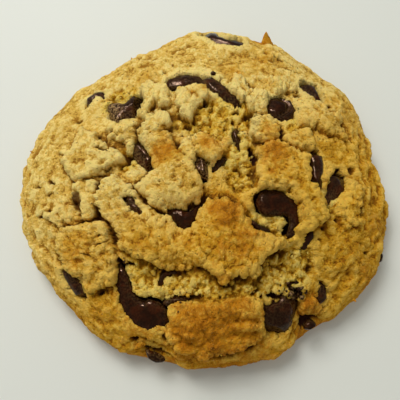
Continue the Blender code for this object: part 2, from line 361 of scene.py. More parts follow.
def makeChocolateLook():
    # dark and light clouds, dough dust where it is painted on, and a gloss that the bloom breaks up
    g = Graph("chocolate")
    at = g.place()
    look = chocolateLook
    cloud = g.noise(at, look["cloud"], 3, 0.6, 0.6)
    bloom = g.noise(at, look["bloom"], 3, 0.6)
    colour = g.mix(g.span(0.42, 0.75, cloud), look["dark"], look["light"])
    grain = g.span(0.42, 0.62, g.noise(at, look["dusting"], 3, 0.65))
    dust = g.clamp(g.painted("dusted") * grain)
    colour = g.mix(dust, colour, look["dust"])
    return g.finish({"Base Color": colour,
                     "Roughness": look["roughness"] + (bloom - 0.5) * 0.3 + dust * look["dustRoughness"],
                     "Normal": g.bump(bloom * 1.0 + g.noise(at, look["dent"], 2) * 1.5, look["bump"]),
                     "Specular IOR Level": look["shine"], "Specular Tint": (*look["sheen"], 1)})


doughSkin = makeDoughLook()
chocolate = makeChocolateLook()
print("materials made")


# the smooth baked shape that everything is carved from; lengths in mm, each lobe as its angle in degrees,
# its rise in mm and its spread in degrees; the grid has `cells` cells a side
loaf = {
    "radius": 52.4, "rimHeight": 6.2, "domeRise": 15.2, "fullness": 2.7, "rounding": 0.72, "footInset": 3.6,
    "lobes": [(33, 1.6, 9), (62, 1.4, 9), (83, 1.0, 7), (108, -1.4, 9), (127, -4.2, 17), (150, -1.0, 10),
              (180, 0.9, 13), (222, -1.6, 13), (275, -1.0, 22), (336, 2.3, 17), (368, -1.0, 6)],
    "cells": 288, "bottomRings": 14,
}


def loafRadius(angle):
    # the widest line: a circle and, for each lobe, rise * exp(-(degrees away / spread)^2)
    radius = np.full(np.shape(angle), loaf["radius"])
    for middle, rise, spread in loaf["lobes"]:
        away = (np.degrees(angle) - middle + 180) % 360 - 180
        radius = radius + rise * np.exp(-(away / spread) ** 2)
    return radius


def loafSection():
    # crown to rim to foot: height = rim + dome * (1 - q^fullness)^rounding, then a quarter oval tucked under
    q = np.linspace(0, 1, 900)
    top = loaf["rimHeight"] + loaf["domeRise"] * (1 - q ** loaf["fullness"]) ** loaf["rounding"]
    under = np.linspace(0, math.pi / 2, 120)[1:]
    share = np.concatenate([q, 1 - loaf["footInset"] / loaf["radius"] * (1 - np.cos(under))])
    height = np.concatenate([top, loaf["rimHeight"] * (1 - np.sin(under))])
    steps = np.hypot(np.diff(share) * loaf["radius"], np.diff(height))
    along = np.concatenate([[0], np.cumsum(steps)])
    return along, share, height


def loafGrid():
    # a square grid laid on the disc ring by ring, so that no cell shrinks to nothing at the crown
    n = loaf["cells"]
    line = np.linspace(-1, 1, n + 1)
    u, v = np.meshgrid(line, line)
    ring = np.maximum(np.abs(u), np.abs(v))
    sideways = np.abs(u) >= np.abs(v)
    safeU = np.where(u == 0, 1, u)
    safeV = np.where(v == 0, 1, v)
    angle = np.where(sideways, math.pi / 4 * v / safeU + np.where(u < 0, math.pi, 0),
                     math.pi / 2 * np.sign(v) - math.pi / 4 * u / safeV)
    along, share, height = loafSection()
    s = ring * along[-1]
    q, z = np.interp(s, along, share), np.interp(s, along, height)
    slopeShare = np.gradient(share * loaf["radius"], along)
    slopeHeight = np.gradient(height, along)
    outward, upward = -np.interp(s, along, slopeHeight), np.interp(s, along, slopeShare)
    length = np.hypot(outward, upward)
    radius = q * loafRadius(angle)
    points = np.stack([radius * np.cos(angle), radius * np.sin(angle), z], -1)
    normals = np.stack([outward * np.cos(angle), outward * np.sin(angle), upward], -1)
    normals = normals / length[..., None]
    flat = points[..., :2].reshape(-1, 2)
    points[..., :2] -= (flat.max(0) + flat.min(0)) / 2
    return points, normals


base, baseNormal = loafGrid()
planX, planY = base[..., 0], base[..., 1]
print("loaf laid out,", base.shape[0], "points a side")


def strayed(reach, width, seed):
    # the loaf's places in plan, each moved by swells, so that what is drawn over them turns ragged
    return planX + reach * swell(base, width, seed), planY + reach * swell(base, width, seed + 1)


# each chip: the nodes it stands for; how deep it is and how far it is sunk under its packed top, in mm; how
# much dough dust lies on it; how many broken facets it has; its shape in mm from the first node's middle,
# either a "spine" of (x, y, half width) or a star-shaped "outline" of (x, y); a "groove" is a furrow's line
# in its top
chips = {
    "chipBackEdge": {
        "nodes": ["chip_back_edge"], "deep": 2.2, "sunk": -0.5, "dusted": 0.0, "facets": 3,
        "spine": [(-6.6, 4.4, 1.9), (-4, 2.8, 3.2), (-1.2, -0.8, 2.7), (2.2, -3, 3), (5, -2.4, 2.7),
        (6.8, -0.4, 1.4)]},
    "chipUpperLeft": {
        "nodes": ["chip_upper_left"], "deep": 2.0, "sunk": 0.5, "dusted": 0.1, "facets": 0,
        "spine": [(-4.9, -1, 1.2), (-2.6, 0.0, 2.3), (0.6, 0.6, 2.6), (3, 0.6, 2.2), (5.4, 1, 1.4)]},
    "chipUpperShard": {
        "nodes": ["chip_upper_shard"], "deep": 1.9, "sunk": 0.1, "dusted": 0.1, "facets": 5,
        "spine": [(-7, 5.8, 1.3), (-4.2, 3.4, 2.2), (-0.8, 0.6, 2.2), (2.4, -2.4, 1.6), (5.6, -5, 1)]},
    "chipWhole": {
        "nodes": ["chip_whole"], "deep": 3.0, "sunk": 0.3, "dusted": 0.0, "facets": 0,
        "outline": [(4.3, 0.6), (3, 3.4), (-0.2, 4.3), (-3.3, 3.1), (-4.5, 0.1), (-3.4, -2.7),
        (-0.4, -4.2), (2.9, -4), (4.1, -1.8)],
        "groove": [(0.2, 3.4), (2, 1.6), (1.8, -0.6), (-0.2, -2.2)]},
    "chipUpperRight": {
        "nodes": ["chip_upper_right"], "deep": 2.2, "sunk": 0.5, "dusted": 0.05, "facets": 5,
        "outline": [(3.7, 0.4), (3, 3.4), (-0.6, 4.1), (-3.9, 3.4), (-3.5, 0.0), (-1.3, -2.2),
        (1.4, -3.6), (3.5, -4)]},
    "chipCrescent": {
        "nodes": ["chip_crescent"], "deep": 1.3, "sunk": -0.1, "dusted": 0.15, "facets": 2,
        "spine": [(-1.7, -3.2, 0.6), (-2.3, -1, 1.2), (-1.4, 1.4, 1.3), (0.6, 2.2, 1.2), (2.2, 1.2, 0.9),
        (2.8, -0.2, 0.5)]},
    "chipLeftBroken": {
        "nodes": ["chip_left_broken"], "deep": 2.4, "sunk": 0.3, "dusted": 0.1, "facets": 4,
        "outline": [(5.4, 4.4), (6.1, 0.8), (4.9, -3.4), (2.2, -5.5), (-1, -6.1), (-3.8, -4.9),
        (-5.3, -2), (-4.8, 1.2), (-2.4, 1.7), (0.2, 1.3), (2.4, 3.7)]},
    "chipScratched": {
        "nodes": ["chip_scratched"], "deep": 1.8, "sunk": 0.1, "dusted": 0.2, "facets": 3,
        "spine": [(-2.4, 3.7, 0.9), (-1.2, 1.8, 1.7), (0.6, -0.8, 1.9), (1.8, -2.6, 1.3), (2.6, -4.2, 0.6)]},
    "chipLeftSliver": {
        "nodes": ["chip_left_sliver"], "deep": 1.3, "sunk": 0.3, "dusted": 0.25, "facets": 3,
        "spine": [(-1.8, 1.8, 0.7), (-0.2, 0.8, 1.1), (1.2, -0.8, 1), (2.6, -2.2, 0.6)]},
    "chipHeart": {
        "nodes": ["chip_heart"], "deep": 2.2, "sunk": 0.4, "dusted": 0.0, "facets": 0,
        "outline": [(4.6, 3.2), (2.4, 1.7), (0.4, 1.5), (-2, 2.2), (-4, 1.6), (-3.8, 0.0), (-2, -2.2),
        (0.2, -3.9), (1.9, -3.2), (3.2, -0.6)]},
    "chipMiddleShard": {
        "nodes": ["chip_middle_shard"], "deep": 1.6, "sunk": 0.3, "dusted": 0.35, "facets": 4,
        "spine": [(-1.5, 2.9, 0.8), (-0.5, 1.4, 1.5), (0.3, -0.8, 1.4), (0.7, -3, 0.6)]},
    "chipMiddleSliver": {
        "nodes": ["chip_middle_sliver"], "deep": 1.2, "sunk": 0.1, "dusted": 0.1, "facets": 2,
        "spine": [(-1.9, -2.4, 0.6), (-0.4, -0.4, 1), (0.8, 1, 0.9), (2.1, 2.2, 0.8)]},
    "chipUprightSliver": {
        "nodes": ["chip_upright_sliver"], "deep": 1.3, "sunk": 0.2, "dusted": 0.2, "facets": 3,
        "spine": [(-0.7, 2.4, 0.9), (-0.5, 0.2, 1.1), (0.0, -2.2, 1), (0.3, -4.6, 0.7)]},
    "chipMelted": {
        "nodes": ["chip_melted", "chip_melted_tail"], "deep": 2.1, "sunk": 0.2, "dusted": 0.0, "facets": 0,
        "spine": [(-4, -0.3, 2.1), (-2.2, -0.3, 3.3), (0.8, -0.2, 3.3), (3.4, -0.9, 2.6), (5, -2.6, 1.8),
        (5.4, -5, 1.6), (4.6, -7, 1.4), (3.1, -8.4, 0.9)]},
    "chipTallRight": {
        "nodes": ["chip_tall_right"], "deep": 2.0, "sunk": 0.3, "dusted": 0.05, "facets": 3,
        "spine": [(0.4, 6.2, 1.4), (0.5, 4, 2), (0.6, 1, 1.8), (0.2, -1.6, 1.4), (0.3, -3.8, 1.9),
        (0.4, -5.8, 1.1)]},
    "chipDarkRight": {
        "nodes": ["chip_dark_right"], "deep": 2.0, "sunk": 0.7, "dusted": 0.05, "facets": 4,
        "spine": [(-2, -5.2, 0.9), (-1.2, -2.2, 1.7), (0.4, 0.4, 2.5), (1.8, 2.6, 2.9), (3.4, 4.6, 1.6)]},
    "chipComet": {
        "nodes": ["chip_comet_tail", "chip_comet_head"], "deep": 2.3, "sunk": 0.4, "dusted": 0.0, "facets": 0,
        "spine": [(-1.1, 2.8, 0.8), (-0.6, -0.2, 1.6), (0.1, -3.7, 2.1), (1.4, -6.7, 2.7),
        (3.8, -8.9, 3.5), (6.5, -9.5, 3.9), (9, -10.4, 3), (11, -11.8, 1.2)]},
    "chipLowerLeft": {
        "nodes": ["chip_lower_left"], "deep": 1.8, "sunk": 0.2, "dusted": 0.15, "facets": 2,
        "spine": [(-3.8, 3.4, 0.6), (-2.4, 2.4, 1.5), (-0.2, 0.2, 1.9), (2, -2.4, 1.8), (3.4, -4.2, 0.9)]},
    "chipFrontLarge": {
        "nodes": ["chip_front_large"], "deep": 2.8, "sunk": 0.8, "dusted": 0.05, "facets": 4,
        "outline": [(4.6, 0.4), (5.6, 3), (4, 5.6), (1.2, 6.4), (-1.6, 5), (-4.8, 4.6), (-6, 2),
        (-5.8, -0.8), (-4, -3.9), (-0.2, -4.4), (2.6, -2.6)]},
    "chipFrontSliver": {
        "nodes": ["chip_front_sliver"], "deep": 1.4, "sunk": 0.2, "dusted": 0.1, "facets": 2,
        "spine": [(-0.2, 3, 0.5), (0.6, 1.2, 1.1), (0.4, -1, 1.5), (-0.2, -2.8, 0.9)]},
    "chipFrontDot": {
        "nodes": ["chip_front_dot"], "deep": 1.3, "sunk": 0.5, "dusted": 0.0, "facets": 2,
        "outline": [(1.6, 0.3), (0.6, 1.6), (-1, 1.4), (-1.6, 0.0), (-0.9, -1.4), (0.8, -1.3)]},
    "chipHollowSlit": {
        "nodes": ["chip_hollow_slit"], "deep": 1.2, "sunk": 0.6, "dusted": 0.0, "facets": 0,
        "spine": [(1.3, 2.2, 0.7), (0.5, 0.9, 1), (-0.5, -0.9, 0.9), (-1.2, -2.1, 0.6)]},
    "chipRightEdge": {
        "nodes": ["chip_right_edge"], "deep": 1.2, "sunk": 0.4, "dusted": 0.5, "facets": 3,
        "spine": [(0.2, 3.4, 0.7), (0.4, 1.4, 1.3), (0.1, -0.6, 1), (0.4, -2.4, 1.2), (0.2, -3.6, 0.6)]},
    "chipTornArc": {
        "nodes": ["chip_torn_arc"], "deep": 1.1, "sunk": 0.4, "dusted": 0.15, "facets": 0,
        "spine": [(-1.5, -2.4, 0.7), (-1.6, -0.4, 0.8), (-0.6, 1, 0.7), (1.2, 1.4, 0.6), (2.4, 1.2, 0.4)]},
    "chipTornSlit": {
        "nodes": ["chip_torn_slit"], "deep": 1.1, "sunk": 0.3, "dusted": 0.15, "facets": 2,
        "spine": [(-3.2, -0.8, 0.6), (-1.4, -0.2, 1), (0.8, 0.4, 0.8), (3.2, 0.6, 0.5)]},
    "chipFrontLeftEdge": {
        "nodes": ["chip_front_left_edge"], "deep": 1.1, "sunk": 0.2, "dusted": 0.12, "facets": 3,
        "spine": [(-2.8, 0.9, 0.6), (-1, 0.2, 1.1), (1, -0.5, 1.2), (3, -0.8, 0.6)]},
    "chipCrevice": {
        "nodes": ["chip_crevice"], "deep": 1.2, "sunk": 0.5, "dusted": 0.1, "facets": 0,
        "spine": [(-2.3, 1.6, 0.5), (-1, 0.2, 0.8), (0.6, -0.6, 0.8), (2.2, -0.9, 0.6)]},
}
# how a chip is meshed and roughened; "grow" is how far its sides reach under the dough's lips, as a share,
# and "sag" how far it may bend down and up with the loaf, in mm
chipMesh = {"rows": 48, "columns": 32, "outlineColumns": 48, "leastHalfWidth": 0.3, "boxy": 0.84, "grow": 1.1,
            "uneven": 0.16, "unevenWidth": 1.9, "grooveDepth": 1.1, "grooveWidth": 0.8, "sag": (-3.5, 1.0)}


def chipPlace(name):
    # middle of a packed chip, its plan axes laid on the dough's slope, and the height of its top over that
    # middle
    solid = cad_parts[name].data
    corners = np.empty(len(solid.vertices) * 3, np.float32)
    solid.vertices.foreach_get("co", corners)
    corners = corners.reshape(-1, 3) / mm
    middle = (corners.max(0) + corners.min(0)) / 2
    away = math.hypot(middle[0], middle[1])
    reach = away / float(loafRadius(math.atan2(middle[1], middle[0])))
    lean = math.radians(70) * min(1.0, reach) ** 6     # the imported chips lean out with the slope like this
    slant = math.sin(lean) / away
    up = np.array([middle[0] * slant, middle[1] * slant, math.cos(lean)])
    across = np.array([1.0, 0, 0]) - up * up[0]
    across /= np.linalg.norm(across)
    return middle, np.stack([across, np.cross(up, across), up]), ((corners - middle) @ up).max()


def flowing(points, samples, closed=False):
    # a smooth line through the points: cubic pieces, sloped at each point like the line between its
    # neighbours
    p = np.array(points, float)
    ends = (p[-1:], p[:2]) if closed else (2 * p[:1] - p[1:2], 2 * p[-1:] - p[-2:-1])
    p = np.vstack([ends[0], p, ends[1]])
    last = len(points) if closed else len(points) - 1
    t = np.linspace(0, last, samples, endpoint=not closed)
    i = np.minimum(t.astype(int), last - 1)
    f = (t - i)[:, None]
    a, b, c, d = p[i], p[i + 1], p[i + 2], p[i + 3]
    return 0.5 * (2 * b + (c - a) * f + (2 * a - 5 * b + 4 * c - d) * f ** 2
                  + (3 * b - 3 * c + d - a) * f ** 3)


def boxRound(turns, power):
    # cosine and sine of an angle, each raised to a power and keeping its sign, which squares off a round
    c, s = np.cos(turns), np.sin(turns)
    return np.sign(c) * np.abs(c) ** power, np.sign(s) * np.abs(s) ** power


def closing(t):
    # 1 along a piece and 0 at both ends: (1 - |2t-1|^6)^0.5
    return (1 - np.abs(2 * t - 1) ** 6) ** 0.5


def spineSurface(spine, deep):
    # a tube along the spine: half width * closing(t) across, deep * closing(t) upwards, less where it is
    # narrow
    rows, columns = chipMesh["rows"], chipMesh["columns"]
    t = 0.5 - 0.5 * np.cos(np.linspace(0, math.pi, rows))
    line = flowing(spine, 400)
    even = np.linspace(0, 1, 400)
    x, y, w = (np.interp(t, even, line[:, k]) for k in range(3))
    w = np.maximum(w, chipMesh["leastHalfWidth"])
    dx, dy = np.gradient(x, t), np.gradient(y, t)
    length = np.hypot(dx, dy) + 1e-9
    swelling = closing(t)
    turns = np.linspace(0, 2 * math.pi, columns, endpoint=False)
    c, s = boxRound(turns, chipMesh["boxy"])
    high = deep * (0.55 + 0.45 * w / w.max())
    across = (w * swelling)[:, None] * c
    return np.stack([x[:, None] + dy[:, None] / length[:, None] * across,
                     y[:, None] - dx[:, None] / length[:, None] * across,
                     (high * swelling)[:, None] * s], -1)


def outlineSurface(outline, deep):
    # from the top to the underside: outline * sin(t) about its middle, deep * cos(t) upwards, both squared
    # off
    rows, columns = chipMesh["rows"], chipMesh["outlineColumns"]
    edge = flowing(outline, columns, closed=True)
    middle = edge.mean(0)
    c, s = boxRound(np.linspace(0, math.pi, rows), chipMesh["boxy"])
    flat = middle + (edge - middle)[None] * s[:, None, None]
    return np.concatenate([flat, np.broadcast_to((deep * c)[:, None, None], (rows, columns, 1))], -1)


def breakFacets(surface, facets, seed):
    # planes press back what stands past them, as on a snapped piece: p - n * 0.85 * (p.n - limit) where p.n
    # is over the limit
    random = np.random.default_rng(seed)
    middle = surface.reshape(-1, 3).mean(0)
    p = surface - middle
    for _ in range(facets):
        turn, rise = random.uniform(0, 2 * math.pi), random.uniform(0.35, 0.95)
        flat = math.sqrt(1 - rise * rise)
        n = np.array([math.cos(turn) * flat, math.sin(turn) * flat, rise])
        reach = p @ n
        p = p - n * 0.85 * np.maximum(reach - reach.max() * random.uniform(0.55, 0.8), 0)[..., None]
    return p + middle


def grooved(surface, line):
    # a furrow pressed into the upper half along a line: down by depth * exp(-(distance / width)^2)
    away = np.full(surface.shape[:2], 99.0)
    for x, y in flowing(line, 40):
        away = np.minimum(away, np.hypot(surface[..., 0] - x, surface[..., 1] - y))
    drop = chipMesh["grooveDepth"] * np.exp(-(away / chipMesh["grooveWidth"]) ** 2) * (surface[..., 2] > 0)
    return surface - drop[..., None] * np.array([0, 0, 1])


def outsideChip(chip, x, y):
    # how far a place in the chip's own plan lies outside its edge, negative inside, in mm
    if "outline" in chip:
        return -insideBy(x, y, [tuple(p) for p in flowing(chip["outline"], 36, closed=True)])
    line = flowing(chip["spine"], 60)
    w = np.maximum(line[:, 2], chipMesh["leastHalfWidth"]) * closing(np.linspace(0, 1, 60))
    away = np.full(x.shape, 1e9)
    for (px, py, _), half in zip(line, w):
        away = np.minimum(away, np.hypot(x - px, y - py) - half)
    return away


def loafTop(x, y):
    # height of the smooth loaf over a place in plan, by loafSection's formula, short of the rim
    q = np.clip(np.hypot(x, y) / loafRadius(np.arctan2(y, x)), 0, 0.985)
    return loaf["rimHeight"] + loaf["domeRise"] * (1 - q ** loaf["fullness"]) ** loaf["rounding"]


places = {name: chipPlace(chip["nodes"][0]) for name, chip in chips.items()}
print("chocolate laid out,", len(chips), "pieces for", sum(len(c["nodes"]) for c in chips.values()), "nodes")


# raised crags of crust: rise over the loaf and how far in from its edge a crag turns flat, both in mm; tilt,
# as the rise per mm to +X and to +Y; outline in mm
crags = {
    "upperLeft": (2.3, 1.9, (0.03, 0.02), [(-18.5, 24.5), (-14.5, 26), (-10, 23), (-9, 18), (-11, 15),
        (-13.5, 17.5), (-15, 14), (-17, 12), (-17.5, 16.5), (-16.5, 20)]),
    "upperMiddle": (2.0, 1.9, (0.05, 0), [(-8, 22), (-4.5, 22), (1, 23), (1.5, 19.5), (-1, 17),
        (-2, 14.5), (-3.5, 11), (-5, 12.5), (-7, 15.5), (-7.5, 19.5)]),
    "face": (3.0, 1.9, (0.02, 0), [(-18, 7), (-15, 13.5), (-10, 13.5), (-8, 11), (-10, 8), (-8.5, 5.5),
        (-6, 3), (-4, 5), (-0.5, 7.5), (3, 6), (5, 2), (2.5, -2.5), (0, -0.5), (-1.5, -2), (-0.5, -6.5),
        (0.5, -9.5), (-1.5, -12), (-7.5, -13), (-9, -14.5), (-11.5, -14.5), (-14, -12), (-18, -7.5),
        (-13, -3), (-14.5, 2.5)]),
    "belowLeft": (2.4, 1.9, (0, 0.02), [(-26, -5), (-27.5, -12), (-26, -15.5), (-23, -17.5), (-21.5, -20),
        (-21, -22.5), (-18.5, -26), (-15.5, -26.5), (-13, -28), (-8.5, -29.5), (-3.5, -29), (0, -29),
        (1, -22), (-2, -16.5), (-4.5, -18.5), (-7, -17), (-8.5, -15), (-11.5, -15), (-14, -12.5),
        (-16, -10.5), (-19, -7), (-23, -4)]),
    "belowRight": (3.1, 1.9, (0, 0.02), [(-2, -29), (2.5, -30), (5, -32.5), (8, -31.5), (12, -31),
        (14, -30.5), (15, -28), (16, -26.5), (21, -23.5), (21, -21), (15, -20), (13, -18.5), (11, -15.5),
        (9.5, -13.5), (5, -11.5), (2.5, -10.5), (0, -11.5), (-2, -16.5), (-3, -22)]),
    "leftShoulder": (1.9, 1.9, (0, 0), [(-26.5, 9.5), (-21, 12.5), (-18, 13), (-18, 7), (-20, 2.5),
        (-22, 5.5), (-25.5, 6.5)]),
    "left": (2.3, 1.9, (-0.02, 0.02), [(-34, 11.5), (-28.5, 9), (-28, 6), (-24.5, 4), (-22.5, 3),
        (-21, 0.5), (-22.5, -0.5), (-25, -1.5), (-29, -4), (-34.5, -5.5), (-37, -1), (-38.5, 1.5),
        (-36, 4.5), (-34.5, 9.5)]),
    "leftLower": (1.9, 1.9, (0, 0), [(-33.5, -5), (-31, -4.5), (-28.5, -5.5), (-27.5, -10.5),
        (-28.5, -15), (-31.5, -15), (-35, -9.5), (-35, -7.5)]),
    "leftFoot": (1.5, 1.9, (0, 0), [(-42.5, -13), (-40.5, -11.5), (-38, -10), (-35, -11), (-32.5, -13),
        (-32.5, -16.5), (-37.5, -16.5), (-41.5, -14.5)]),
    "lowerLeft": (2.2, 1.9, (0.02, 0), [(-38.5, -20.5), (-38.5, -18.5), (-35.5, -17.5), (-30.5, -16),
        (-25.5, -17), (-24, -18.5), (-23.5, -23), (-22, -24), (-22.5, -32), (-25, -33), (-29, -33.5),
        (-30.5, -30), (-35.5, -28), (-37.5, -26)]),
    "front": (2.0, 3.6, (0, 0.02), [(-9, -37.5), (-6.5, -37), (0, -37), (5, -36.5), (9.5, -35),
        (12.5, -35), (16, -37), (15.5, -41), (16, -44.5), (15, -46.5), (11, -47), (7.5, -48.5),
        (1.5, -49.5), (-3, -49.5), (-7.5, -48.5), (-8.5, -46)]),
    "right": (2.7, 1.9, (-0.02, 0), [(14.5, 3.5), (20, 5.5), (25, 3.5), (28.5, 1), (28.5, -5), (30.5, -8),
        (33.5, -11), (32.5, -15), (28.5, -18.5), (25.5, -20.5), (23.5, -19), (25, -12), (23, -9),
        (15.5, -8.5), (14, -4), (15, 1)]),
    "knobMiddle": (2.4, 1.9, (0, 0), [(13, 9.5), (14, 12.5), (16.5, 14), (19, 13), (21, 11), (21.5, 8),
        (20.5, 6), (18.5, 4.5), (14.5, 5.5), (13, 7)]),
    "shoulderRight": (1.9, 1.9, (0, 0), [(22, 7), (24.5, 9.5), (28.5, 10), (30.5, 8.5), (31, 4.5),
        (26.5, 3.5), (23.5, 4.5)]),
    "knobUpper": (2.2, 1.9, (0, 0), [(12, 19), (14.5, 22), (17.5, 22.5), (19, 21), (18.5, 17.5),
        (17.5, 15), (15, 13.5), (13, 15.5)]),
    "shelfUpper": (1.8, 1.9, (0, 0), [(6.5, 23), (10, 27.5), (12.5, 25.5), (13.5, 24.5), (14.5, 22),
        (12, 18.5), (10.5, 17.5), (9, 20)]),
    "rightOuter": (1.5, 1.9, (0, 0), [(39, -3), (41, -3), (44, -5.5), (44.5, -8), (43, -10.5),
        (42.5, -15), (40, -18), (36.5, -16.5), (35.5, -13.5), (37, -10), (39, -7)]),
    "backRight": (1.7, 1.9, (0, 0), [(19, 27), (21, 28), (24.5, 29), (26.5, 27), (27.5, 24), (23.5, 22.5),
        (21, 23)]),
    "upperRight": (1.7, 1.9, (0, 0), [(26.5, 21.5), (29.5, 22.5), (33, 21), (36, 19), (40, 17),
        (40.5, 10), (36.5, 10), (31.5, 11.5), (27, 12), (27, 15.5)]),
    "nub": (1.9, 1.9, (0, 0), [(32, -3), (34.5, -3.5), (34, -6.5), (32.5, -7.5)]),
    "frontRight": (1.7, 1.9, (0, 0), [(26, -37.5), (28, -35.8), (31, -36.5), (32, -39), (29.5, -40.5),
        (26.5, -40)]),
}
# torn open ground between the crags, as ovals: x, y, half length, half width, turn in degrees, how low it
# lies in mm
tears = [
    (4, 13, 13, 6.5, 5, 1.4), (10, -1, 4.5, 9, 0, 1.3), (-20, 1, 3.5, 4, 0, 0.9),
    (-17, -30, 5, 5, 0, 1.2), (-3, -34, 15, 4.2, 4, 0.5), (10, -34, 9, 4, 12, 0.3),
    (21, -28.5, 9, 6.5, 8, 1.7), (18, -17.5, 6.5, 4.5, -20, 1.5), (27, 11, 4, 4, 0, 0.6),
    (-24, 21, 6, 4, 30, 0.7), (34, -10, 3, 5, 0, 0.8),
]
# gaps, pits and slits, painted dark as shade inside, as ovals: x, y, half length, half width, turn in
# degrees, depth in mm, share of chocolate in it
gaps = [
    (-8.5, 23.5, 1.5, 1.1, 14, 2.4, 1), (-2.5, 26.5, 2.1, 1.3, -34, 2.4, 1),
    (-21, -27, 1.7, 1, -66, 2.6, 1), (-19, -27.5, 1.8, 0.5, -7, 1.8, 1),
    (-9.6, -41.2, 1.6, 1.7, -17, 2.6, 1), (19, -35.6, 3, 1, -3, 2.6, 1),
    (16.3, -40, 3.6, 0.9, -80, 2.6, 1), (24.6, -34.6, 2.2, 1.5, -12, 2.2, 1),
    (22, 10, 2.1, 0.7, -98, 2, 0.7), (28, 22.5, 1, 0.7, -19, 1.6, 0.6),
    (37.5, -0.5, 1.7, 0.6, 32, 1.6, 0.9), (13.3, 1.5, 2.7, 1, -75, 2, 1),
    (8.6, 11.5, 1.3, 0.5, -73, 1.4, 0.3), (1, 18, 0.9, 0.7, 0, 1.8, 0.9),
    (-3, -18.2, 0.9, 0.5, 0, 1.2, 0.4), (-36, 15, 1.5, 0.5, 1, 1.1, 0.3),
    (-40, 4.5, 1.5, 0.45, -36, 1.1, 0.3), (-41.5, -4, 1.6, 0.75, -32, 1.5, 0.5),
    (-46, -4.5, 1.4, 0.4, -11, 0.9, 0.1), (-42, -7.5, 0.9, 0.4, 0, 0.9, 0.3),
    (-42, -12, 0.8, 0.4, 25, 0.9, 0.3), (-44.5, -13, 1.5, 0.7, -3, 1.4, 0.5),
    (-27, -6, 2.4, 0.8, 66, 1.8, 0.35), (-27, -14.5, 2.3, 0.8, 71, 1.8, 0.5),
    (-31.5, -16.5, 1.5, 0.7, 24, 1.5, 0.35), (6, -33, 1.6, 0.7, 1, 1.4, 0.6),
    (9, -31, 1, 0.6, 33, 1.3, 0.4), (13.5, -34.5, 1.4, 0.5, 28, 1.2, 0.4),
    (19, -24.5, 1.6, 0.7, 34, 1.3, 0.3), (28.5, -28.5, 1.3, 0.7, 61, 1.2, 0.4),
    (-5, -36.1, 2.2, 0.8, 12, 1.6, 0.7), (-1.5, -36, 2.3, 0.7, 6, 1.3, 0.2),
    (-29.5, -24.5, 1.9, 0.3, -16, 0.7, 0.2), (-25.5, -22, 2.2, 0.3, 23, 0.7, 0.2),
    (43, -11.5, 3.8, 0.3, -94, 0.6, 0), (19.5, 38.5, 1.3, 0.4, 2, 1, 0.3),
    (27, 39, 0.8, 0.5, 60, 1.2, 0.3), (25.5, 36.6, 5, 0.25, -24, 0.5, 0),
    (27, 33, 4.8, 0.25, -16, 0.5, 0), (5.5, -49.4, 4.6, 0.8, 8, 1.6, 0.3),
    (12, -47.8, 2.2, 0.9, 23, 1.8, 0.5), (-18, -46, 1.2, 0.8, -28, 1.6, 0.6),
    (-14.5, -46.6, 2.2, 0.4, -32, 1, 0.2), (-9.5, -45.5, 1.2, 1.4, 18, 1.4, 0.35),
    (8, 6, 1.5, 0.5, -70, 1.2, 0.2), (-12.5, 14.3, 2.3, 0.8, 7, 1.7, 0.1),
    (-18.5, 2, 2, 0.8, 154, 1.6, 0.4), (-20.5, 1.5, 2.1, 1.1, -63, 1.6, 0.25),
    (-26.5, 3, 2.3, 0.6, -20, 1.1, 0.1), (9, 17, 1.5, 0.6, -69, 1.4, 0.4),
    (12.5, 13.8, 1.2, 0.8, -43, 1.5, 0.5), (13.2, 24, 1.5, 0.6, -58, 1.4, 0.3),
    (-15.5, -5.5, 2.6, 0.6, 42, 1.3, 0.1), (15, -35.5, 0.5, 0.5, 0, 1.3, 0.6),
    (4.5, -36, 0.5, 0.5, 0, 1.3, 0.6), (21, -27.5, 0.5, 0.45, 0, 1.1, 0.5),
    (23.5, -25, 0.6, 0.4, 0, 1.1, 0.4), (31.5, -18, 0.8, 0.6, 20, 1.3, 0.6),
    (30.5, -21, 0.5, 0.5, 0, 1.2, 0.6), (-4, 10.5, 1.2, 0.9, -30, 1.4, 0.25),
    (2, 11, 1, 0.5, -50, 1.2, 0.6), (-5.5, 7.5, 0.5, 0.4, -30, 1.2, 0.6),
    (-1.5, 8, 0.7, 0.4, 0, 1.1, 0.4), (0.5, 7, 0.6, 0.45, 0, 1.1, 0.4), (-8.5, 33, 0.5, 0.7, 0, 1.2, 0.5),
    (-3.5, 32.5, 0.45, 0.6, 0, 1.1, 0.5), (-11, 30, 0.6, 0.45, 0, 1.1, 0.5),
    (-13.5, 29.5, 0.4, 0.3, 0, 0.9, 0.3), (5.5, 25.5, 0.8, 0.6, 20, 1.4, 0.6),
    (37.5, 20.5, 1.1, 0.7, -10, 1.1, 0.1), (42, 0, 1.1, 1.3, 0, 1.2, 0.3),
    (-39, 7.5, 0.35, 0.3, 0, 0.8, 0.2), (-36, 7, 0.35, 0.3, 0, 0.8, 0.2), (-26, -20, 0.5, 0.5, 0, 1, 0.5),
    (44.5, -23, 0.7, 0.4, 30, 0.9, 0.3), (42.5, -21, 0.4, 0.4, 0, 0.8, 0.3),
    (35.5, -15.5, 0.7, 0.5, -40, 1, 0.5), (46.5, -12, 0.3, 0.3, 0, 0.8, 0.3),
    (-26, -34.5, 1, 0.6, 0, 1.4, 0.8), (32.5, -38, 0.9, 0.6, 20, 1.3, 0.5),
    (9.5, 15, 1.3, 0.8, 30, 1.2, 0.1), (33.5, -12.5, 1, 2.4, 10, 1.4, 0.35),
    (6, 33.5, 0.4, 0.4, 0, 0.8, 0.2), (11, 8.5, 0.4, 0.4, 0, 0.9, 0.4),
    (-33, -10.5, 1.8, 3.2, 10, 0.8, 0.0), (-24.5, 9, 1, 0.4, 40, 0.8, 0.1),
    (-23.5, 12, 1.6, 0.8, -30, 1.2, 0.2),
]
